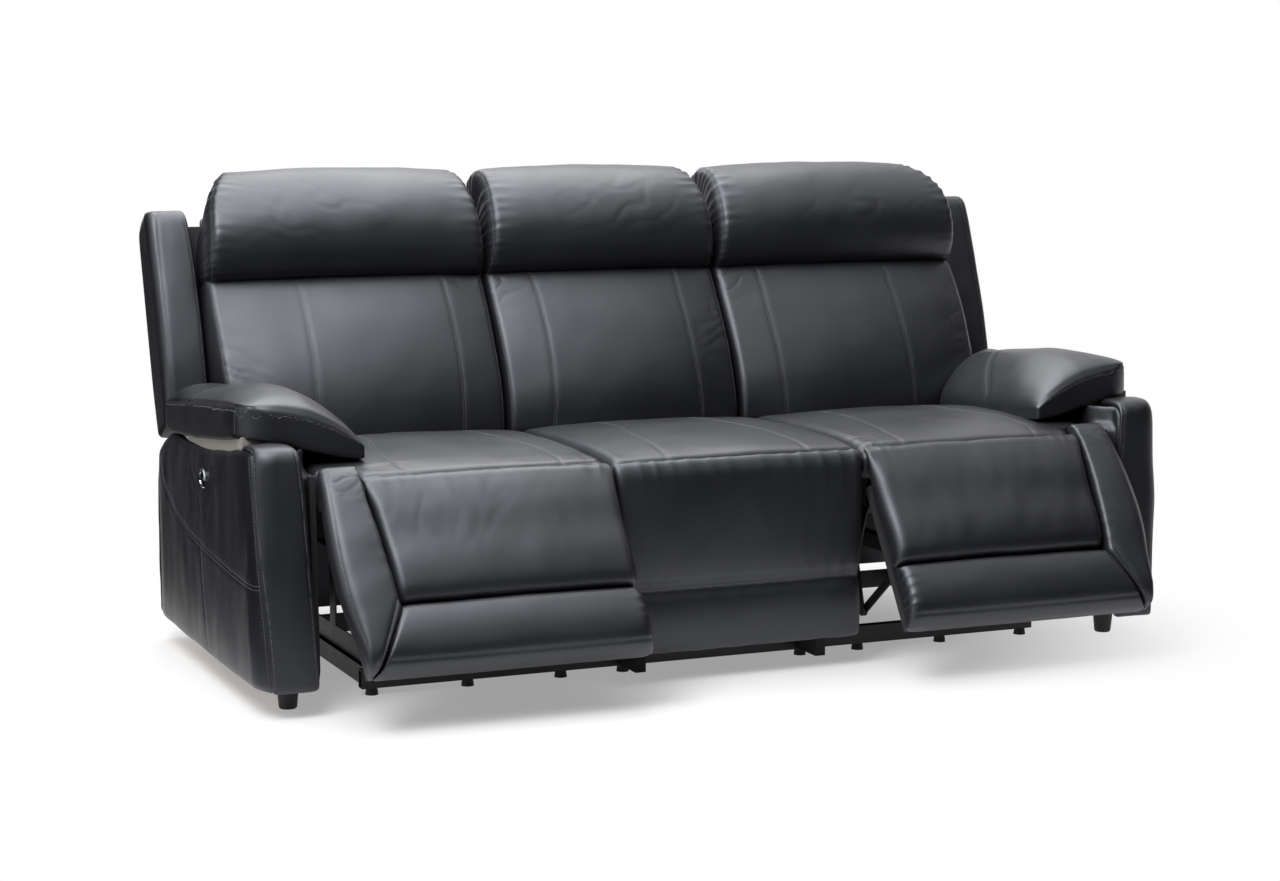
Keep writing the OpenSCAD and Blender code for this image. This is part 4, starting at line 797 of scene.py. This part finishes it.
def makeBack(side, sign):
    body = side + "_back" if sign else "base"
    inner, outer = (301, 966) if sign else (-295, 295)
    right = [(0, 930), (0.2, 936), (0.36, 952), (0.5, 964), (0.8, 967), (1, 963)]
    right = right if sign else [(0, outer), (1, outer)]
    lines = (channel(406, 8), channel(758, 6)) if sign else (channel(-181, -10), channel(181, 10))
    rims = [(inner + 8, 100), (inner + 7, 330), (inner + 8, 566)], hem(right, -8, 580)
    loin = dict(loinLook, name=side + "BackCushion", wide=outer - inner, left=inner, right=right,
                seams=[dict(line=line, deep=1.5, width=3.6, rows=(-3.2, 3.2), puff=0.2) for line in lines]
                + [dict(line=line, deep=0.7, width=3.5, rows=(0,)) for line in rims],
                wrinkles=[dict(size=190, high=2.4, seed=21 + sign),
                          dict(size=80, high=1.3, seed=24 + sign, sharp=5, stretch=(1.6, 0.6), turn=24,
                               where=[(outer - 30, 300, 60, 120), (inner + 30, 480, 70, 60)])])
    dress(makePad(loin, sign or 1), body, side + "_back_cushion")
    low, high = (301, 962) if sign else (-295, 295)
    narrow = [(0, low), (0.2, low + 1), (0.4, low + 5), (0.55, low + 12), (0.75, low + 20), (1, low + 18)]
    far = [(0, 956), (0.12, 965), (0.34, 965), (0.44, 960), (0.52, 950), (0.6, 935), (0.7, 913), (0.78, 900),
           (0.88, 902), (1, 908)]
    far = far if sign else [(f, -x) for f, x in narrow]
    ends = hem(narrow, 9, 500), hem(far, -9, 500)
    pillow = dict(pillowLook, name=side + "HeadPillow", wide=high - low, left=narrow, right=far,
                  seams=[dict(line=line, deep=1.6, width=5, rows=(0,), gathers=folds(51 + 5 * k + sign))
                         for k, line in enumerate(ends)],
                  wrinkles=[dict(size=170, high=2.6, seed=31 + sign), dict(size=60, high=0.5, seed=33 + sign),
                            dict(size=120, high=1.3, seed=35 + sign, sharp=5, stretch=(1.3, 0.7), turn=20,
                                 where=[((low + high) / 2 + 60, 190, 160, 80)])])
    dress(makePad(pillow, sign or 1), body, side + "_head_pillow")


for side, sign in (("left", -1), ("right", 1), ("middle", 0)):
    makeBack(side, sign)
print("backs made")

# Wings, with a topstitched front panel, and the covers behind the backs
wingLook = dict(
    face=backLine((197, 104), (260, 115), (330, 120), (420, 118), (500, 113), (580, 106), (640, 101),
                  (674, 95), (692, 80), (699, 58), (701, 36)),
    under=backLine((177, -4), (236, -12), (320, -17), (540, -14), (630, -15), (662, -10), (684, 4),
                   (696, 20)),
    cuts=(20, 50, 16), crowd=(0.35, 0.2, 0.3), thick=108, round=((9, 22), 8, (13, 22)), crown=3)
coverLook = dict(
    face=backLine((-24, 4), (-22, 0), (100, -2), (330, -3), (600, -2), (680, 0), (692, 6)),
    under=backLine((-24, 11), (-10, 12), (100, 12), (330, 12), (600, 12), (680, 12), (692, 13)),
    cuts=(40, 40, 3), thick=14, round=(6, 6, 6), crown=2)


def hemRows(*places):  # straight rows of stitches up a rear cover
    return [dict(edgeSeam, line=[(x, 20), (x, 360), (x, 690)]) for x in places]


for side, sign in (("left", -1), ("right", 1)):
    inner = [(0, 971), (0.5, 971), (0.75, 974), (0.9, 981), (1, 988)]
    edges = [dict(edgeSeam, line=hem(inner, 9, 540)),
             dict(line=[(1055, 8), (1055, 240), (1053, 440), (1048, 500)], deep=1.0, width=4, rows=(0,))]
    wing = dict(wingLook, name=side + "Wing", wide=108, left=inner,
                right=[(0, 1073), (0.8, 1075), (0.93, 1071), (1, 1062)], seams=edges,
                wrinkles=[dict(size=110, high=1.6, seed=41, stretch=(0.7, 1.5))])
    dress(makePad(wing, sign), side + "_back", side + "_wing")
    cover = dict(coverLook, name=side + "BackCover", wide=640, left=301, right=932, seams=hemRows(318, 918),
                 wrinkles=[dict(size=170, high=1.6, seed=43)])
    dress(makePad(cover, sign), side + "_back", side + "_back_cover", padded=None)
middleCover = dict(coverLook, name="middleBackCover", wide=590, left=-295, right=295,
                   seams=hemRows(-278, 278),
                   wrinkles=[dict(size=170, high=1.6, seed=47)])
dress(makePad(middleCover), "base", "middle_back_cover", padded=None)
print("wings and rear covers made")


# Arms: the side panel is a patch between four edges in side view, from the front face to the rear shoulder.
# The front panel has two profiles, and "across" gives, for shares up it, the inner edge, the end of the flat
# part, the radius of the turn, and how far it turns in radians
armLook = dict(
    skin=1071, board=1048,
    bottom=[(-54, 54), (400, 52), (846, 56)],
    top=[(18, 541), (46, 542), (72, 540), (130, 532), (215, 520), (377, 504), (518, 498), (600, 500),
         (660, 503), (705, 495), (760, 474), (800, 452), (826, 424)],
    front=[(-54, 54), (-46, 200), (-31, 325), (-5, 437), (4, 500), (18, 541)],
    rear=[(846, 56), (850, 160), (850, 352), (843, 390), (826, 424)],
    faceOut=[(-58, 54), (-58, 70), (-51, 180), (-44, 300), (-37, 420), (-31, 500), (-26, 528), (-12, 544),
             (14, 549), (50, 549), (82, 545)],
    faceIn=[(-36, 56), (-35, 70), (-29, 180), (-22, 300), (-15, 420), (-9, 490), (-6, 504), (4, 515),
            (20, 520), (50, 520), (82, 520)],
    across=[(0, 948, 1040, 40, 0.2), (0.25, 953, 1039, 40, 0.45), (0.46, 959, 1038, 40, 0.8),
            (0.65, 965, 1023, 48, 1.25), (0.8, 973, 1024, 46, 1.35), (0.87, 977, 1054, 14, 1.3),
            (1, 982, 1058, 11, 1.3)])


def armSheet(u, f):
    bottom, top, rear, front = (rail(armLook[k]) for k in ("bottom", "top", "rear", "front"))
    corner = np.array([armLook[k][n] for k in ("bottom", "top") for n in (0, -1)], float)
    s, h = u[:, None], f[:, None]
    sides = ((1 - h) * onRail(bottom, u) + h * onRail(top, u)
             + (1 - s) * onRail(front, f) + s * onRail(rear, f))
    shared = ((1 - s) * (1 - h) * corner[0] + s * (1 - h) * corner[1]
              + (1 - s) * h * corner[2] + s * h * corner[3])
    p = sides - shared
    near = np.clip(1 - (p[:, 0] - onRail(front, f)[:, 0]) / 75, 0, 1) ** 1.8
    draw = np.interp(f, (0, 0.3, 0.55, 0.8, 1), (24, 15, 6, 4, 4)) * near
    draw = draw + 8 * np.clip((p[:, 0] - 760) / 90, 0, 1) ** 2
    x = armLook["skin"] - draw + 4 * np.sin(math.pi * u) ** 0.5 * np.sin(math.pi * f) ** 0.5
    return np.column_stack([armLook["board"] - draw * 0.6, p]), np.column_stack([x, p])


# The front panel of an arm turns round its outer corner to the seam of the side
def frontSheet(u, f):
    face, under = rail(armLook["faceOut"]), rail(armLook["faceIn"])
    b, a = onRail(face, f), onRail(under, f)
    out = b - a
    out /= np.linalg.norm(out, axis=1)[:, None]
    shares = [row[0] for row in armLook["across"]]
    x0, flat, bend, turn = (np.interp(f, shares, [row[k] for row in armLook["across"]]) for k in (1, 2, 3, 4))
    run = u * (flat - x0 + turn * bend)
    angle = np.clip(run - flat + x0, 0, None) / bend
    x = x0 + np.minimum(run, flat - x0) + bend * np.sin(angle)
    back = bend * (1 - np.cos(angle)) - 4 * np.sin(math.pi * u) ** 0.7
    inset = np.minimum(18, 18 - 8 * np.clip(angle, 0, 1))
    c = b - out * back[:, None]
    low = c - out * (inset * np.cos(angle))[:, None]
    return np.column_stack([x - inset * np.sin(angle), low]), np.column_stack([x, c])


# The inner side: a return behind the front panel, and above the boards back under the pad
innerLook = dict(low=66, high=536, side=941, thick=12)


def innerSheet(u, f):
    z = innerLook["low"] + (innerLook["high"] - innerLook["low"]) * f
    y0 = np.interp(z, (66, 490, 520, 536), (-42, -20, -12, 2))
    y = y0 + (np.interp(z, (400, 480), (40, 330)) - y0) * u
    over = np.interp(z, (486, 500), (0, 1))
    turn = np.clip((14 + 64 * over - y) / (20 + 46 * over), 0, 1) ** 2
    x = innerLook["side"] + np.interp(z, (66, 490, 536), (14, 31, 38)) * turn
    return np.column_stack([x + innerLook["thick"], y, z]), np.column_stack([x, y, z])


switchLook = dict(behind=0.379, high=0.440, hole=0.0185)  # metres, from the footrest pivot and the floor


def onSide(points):
    return [(sofa["halfWide"], y, z) for y, z in points]


def makeArm(sign):
    side = "left" if sign < 0 else "right"
    out = (1, 0, 0)
    sweep = [(795, 434), (754, 378), (652, 330), (509, 300), (424, 290), (289, 279), (133, 269), (8, 267),
             (-38, 270)]
    drop = [(424, 290), (412, 220), (392, 130), (372, 56)]
    corner = [(1068, 26, 532), (1068, 4, 437), (1066, -20, 325), (1058, -35, 200), (1050, -42, 62)]
    sideSeams = [dict(line=onSide(sweep), space=out, deep=1.8, width=5, rows=(-4, 4), puff=0.5),
                 dict(line=onSide(drop), space=out, deep=1.6, width=5, rows=(3,)),
                 dict(edgeSeam, line=corner, space=out)]
    panel = dict(name=side + "ArmSide", sheet=(armSheet, 460), wide=880, thick=24, cuts=(80, 46, 4),
                 round=(14, 14, 11), seams=sideSeams,
                 wrinkles=[dict(size=150, high=2.2, seed=61, stretch=(0.7, 1.5)),
                           dict(size=70, high=2.0, seed=62, sharp=4.5, turn=35, where=[(400, 360, 110, 80)]),
                           dict(size=60, high=1.2, seed=63, stretch=(0.6, 1.6),
                                where=[(60, 230, 60, 240), (840, 300, 60, 140)])])
    o = makePad(panel, sign)
    at = (sofa["halfWide"] * sign / 1000, pivotY + switchLook["behind"], switchLook["high"])
    cutRound(o, at, switchLook["hole"])
    dress(o, "base", side + "_arm_cover")
    face = dict(name=side + "ArmFront", sheet=(frontSheet, 600), wide=128, thick=22, cuts=(28, 60, 5),
                round=((18, 6), 12, (10, 7)),
                seams=[dict(line=[(9, 10), (10, 200), (10, 380), (10, 500)], deep=1.0, width=4, rows=(0,)),
                       dict(edgeSeam, line=[(120, 10), (120, 200), (120, 400), (120, 560)])],
                wrinkles=[dict(size=120, high=1.6, seed=65, stretch=(0.7, 1.6)),
                          dict(size=50, high=1.2, seed=66, where=[(60, 470, 60, 40)])])
    dress(makePad(face, sign), "base", side + "_arm_cover")
    rear = dict(name=side + "ArmRear", wide=122, left=944, right=1066, thick=12, cuts=(16, 40, 3),
                round=(6, 6, 5), crown=2,
                face=[(853, 62), (857, 160), (856, 340), (848, 386), (828, 419), (800, 443), (756, 463),
                      (700, 481), (610, 488)],
                under=[(841, 62), (845, 160), (844, 336), (837, 380), (819, 411), (793, 433), (752, 452),
                       (697, 469), (610, 476)],
                wrinkles=[dict(size=90, high=1.6, seed=69)])
    dress(makePad(rear, sign), "base", side + "_arm_cover", padded=None)
    inner = dict(name=side + "ArmInner", sheet=(innerSheet, 470), wide=300, thick=12, cuts=(36, 44, 3),
                 round=(5, 5, 5),
                 wrinkles=[dict(size=60, high=1.6, seed=67, stretch=(0.5, 1.2))])
    dress(makePad(inner, sign), "base", side + "_arm_cover", padded=None)
    dress(makePad(dict(padLook, name=side + "ArmPad"), sign), "base", side + "_arm_pad")


def cutRound(o, at, radius):  # the hole behind the switch
    bpy.ops.object.select_all(action="DESELECT")
    bpy.ops.mesh.primitive_cylinder_add(radius=radius, depth=0.12, vertices=48, location=at,
                                        rotation=(0, math.radians(90), 0))
    tool = bpy.context.object
    choose(o)
    hole = o.modifiers.new("hole", "BOOLEAN")
    hole.object, hole.solver = tool, "EXACT"
    bpy.ops.object.modifier_apply(modifier="hole")
    bpy.data.objects.remove(tool)


# An arm pad: a crowned top over a band that narrows from the outer side to the tip over the seat. Both outer
# corners are round in plan
padPlan = dict(front=66, rear=752, frontRadius=74, rearRadius=46, tip=807, bandWide=264, bandLong=660)


def padSheet(u, f):
    front, rear = padPlan["front"], padPlan["rear"]
    y = front + (rear - front) * f
    late = np.clip((f - 0.70) / 0.16, 0, 1)
    tip = padPlan["tip"] + 20 * f + (164 - 20 * f) * late * late * (3 - 2 * late)
    side = sofa["halfWide"]
    x = tip + (side - tip) * u
    for end, way, r in ((front, 1, padPlan["frontRadius"]), (rear, -1, padPlan["rearRadius"])):
        a = np.clip((x - side + r) / r, 0, 1)
        b = np.clip(1 - (y - end) * way / r, 0, 1)
        near = (a > 0) & (b > 0)
        x = np.where(near, side - r + r * a * np.sqrt(1 - b * b / 2), x)
        y = np.where(near, end + way * r * (1 - b * np.sqrt(1 - a * a / 2)), y)
    share = (x - (side - padPlan["bandWide"])) / padPlan["bandWide"]
    f = (y - front) / padPlan["bandLong"]
    under = np.interp(f, [0, 0.027, 0.264, 0.595, 0.8, 0.906, 1], [564, 562, 541, 518, 509, 506, 509])
    band = np.interp(share, [0, 0.08, 0.2, 0.4, 0.6, 0.8, 1], [-57, -56, -50, -37, -23, -10, 0])
    low = under + band * (1 - 0.35 * f)
    edge = np.interp(share, [0, 0.1, 0.25, 0.45, 0.65, 0.85, 1], [538, 556, 577, 599, 612, 622, 628]) - 64 * f
    crown = (73 - 16 * f) * np.sin(math.pi * np.clip(u, 0, 1) ** 0.8) ** 0.66
    fall = np.sqrt(1 - 0.9 * np.clip((f - 0.7) / 0.3, 0, 1) ** 2)
    crown *= np.sin(math.pi / 2 * np.clip(f / 0.42, 0, 1)) ** 0.5 * fall
    return np.column_stack([x, y, low]), np.column_stack([x, y, edge + crown])


padLook = dict(
    sheet=(padSheet, 690), wide=300, thick=62, cuts=(44, 66, 10), crowd=(0.5, 0.45, 0.1), round=(10, 9, 10),
    seams=[dict(line=[(294, 676), (294, 400), (295, 60), (293, 7), (240, 5), (150, 5), (30, 5), (8, 6)],
                deep=1.8, width=4, rows=(4,)),
           dict(line=[(8, 250), (60, 330), (130, 400), (200, 432), (292, 446)],
                deep=1.8, width=5, rows=double, puff=0.6),
           dict(line=[(1068, 118, 624), (1070, 120, 600), (1068, 122, 562)], space=(1, 0, 0),
                deep=1.2, width=4, rows=(3,))],
    wrinkles=[dict(size=150, high=2.2, seed=71),
              dict(size=60, high=1.0, seed=73, sharp=4.5, stretch=(0.7, 1.4),
                   where=[(220, 380, 60, 70), (60, 600, 80, 60)])])
for sign in (-1, 1):
    makeArm(sign)
print("arms made")

for part in frame["record"]["subparts"]:
    o = frame["nodes"][part["node"]]
    o.data.materials.clear()
    o.data.materials.append(finishes[part["material_slot"]])
print("CAD nodes finished")
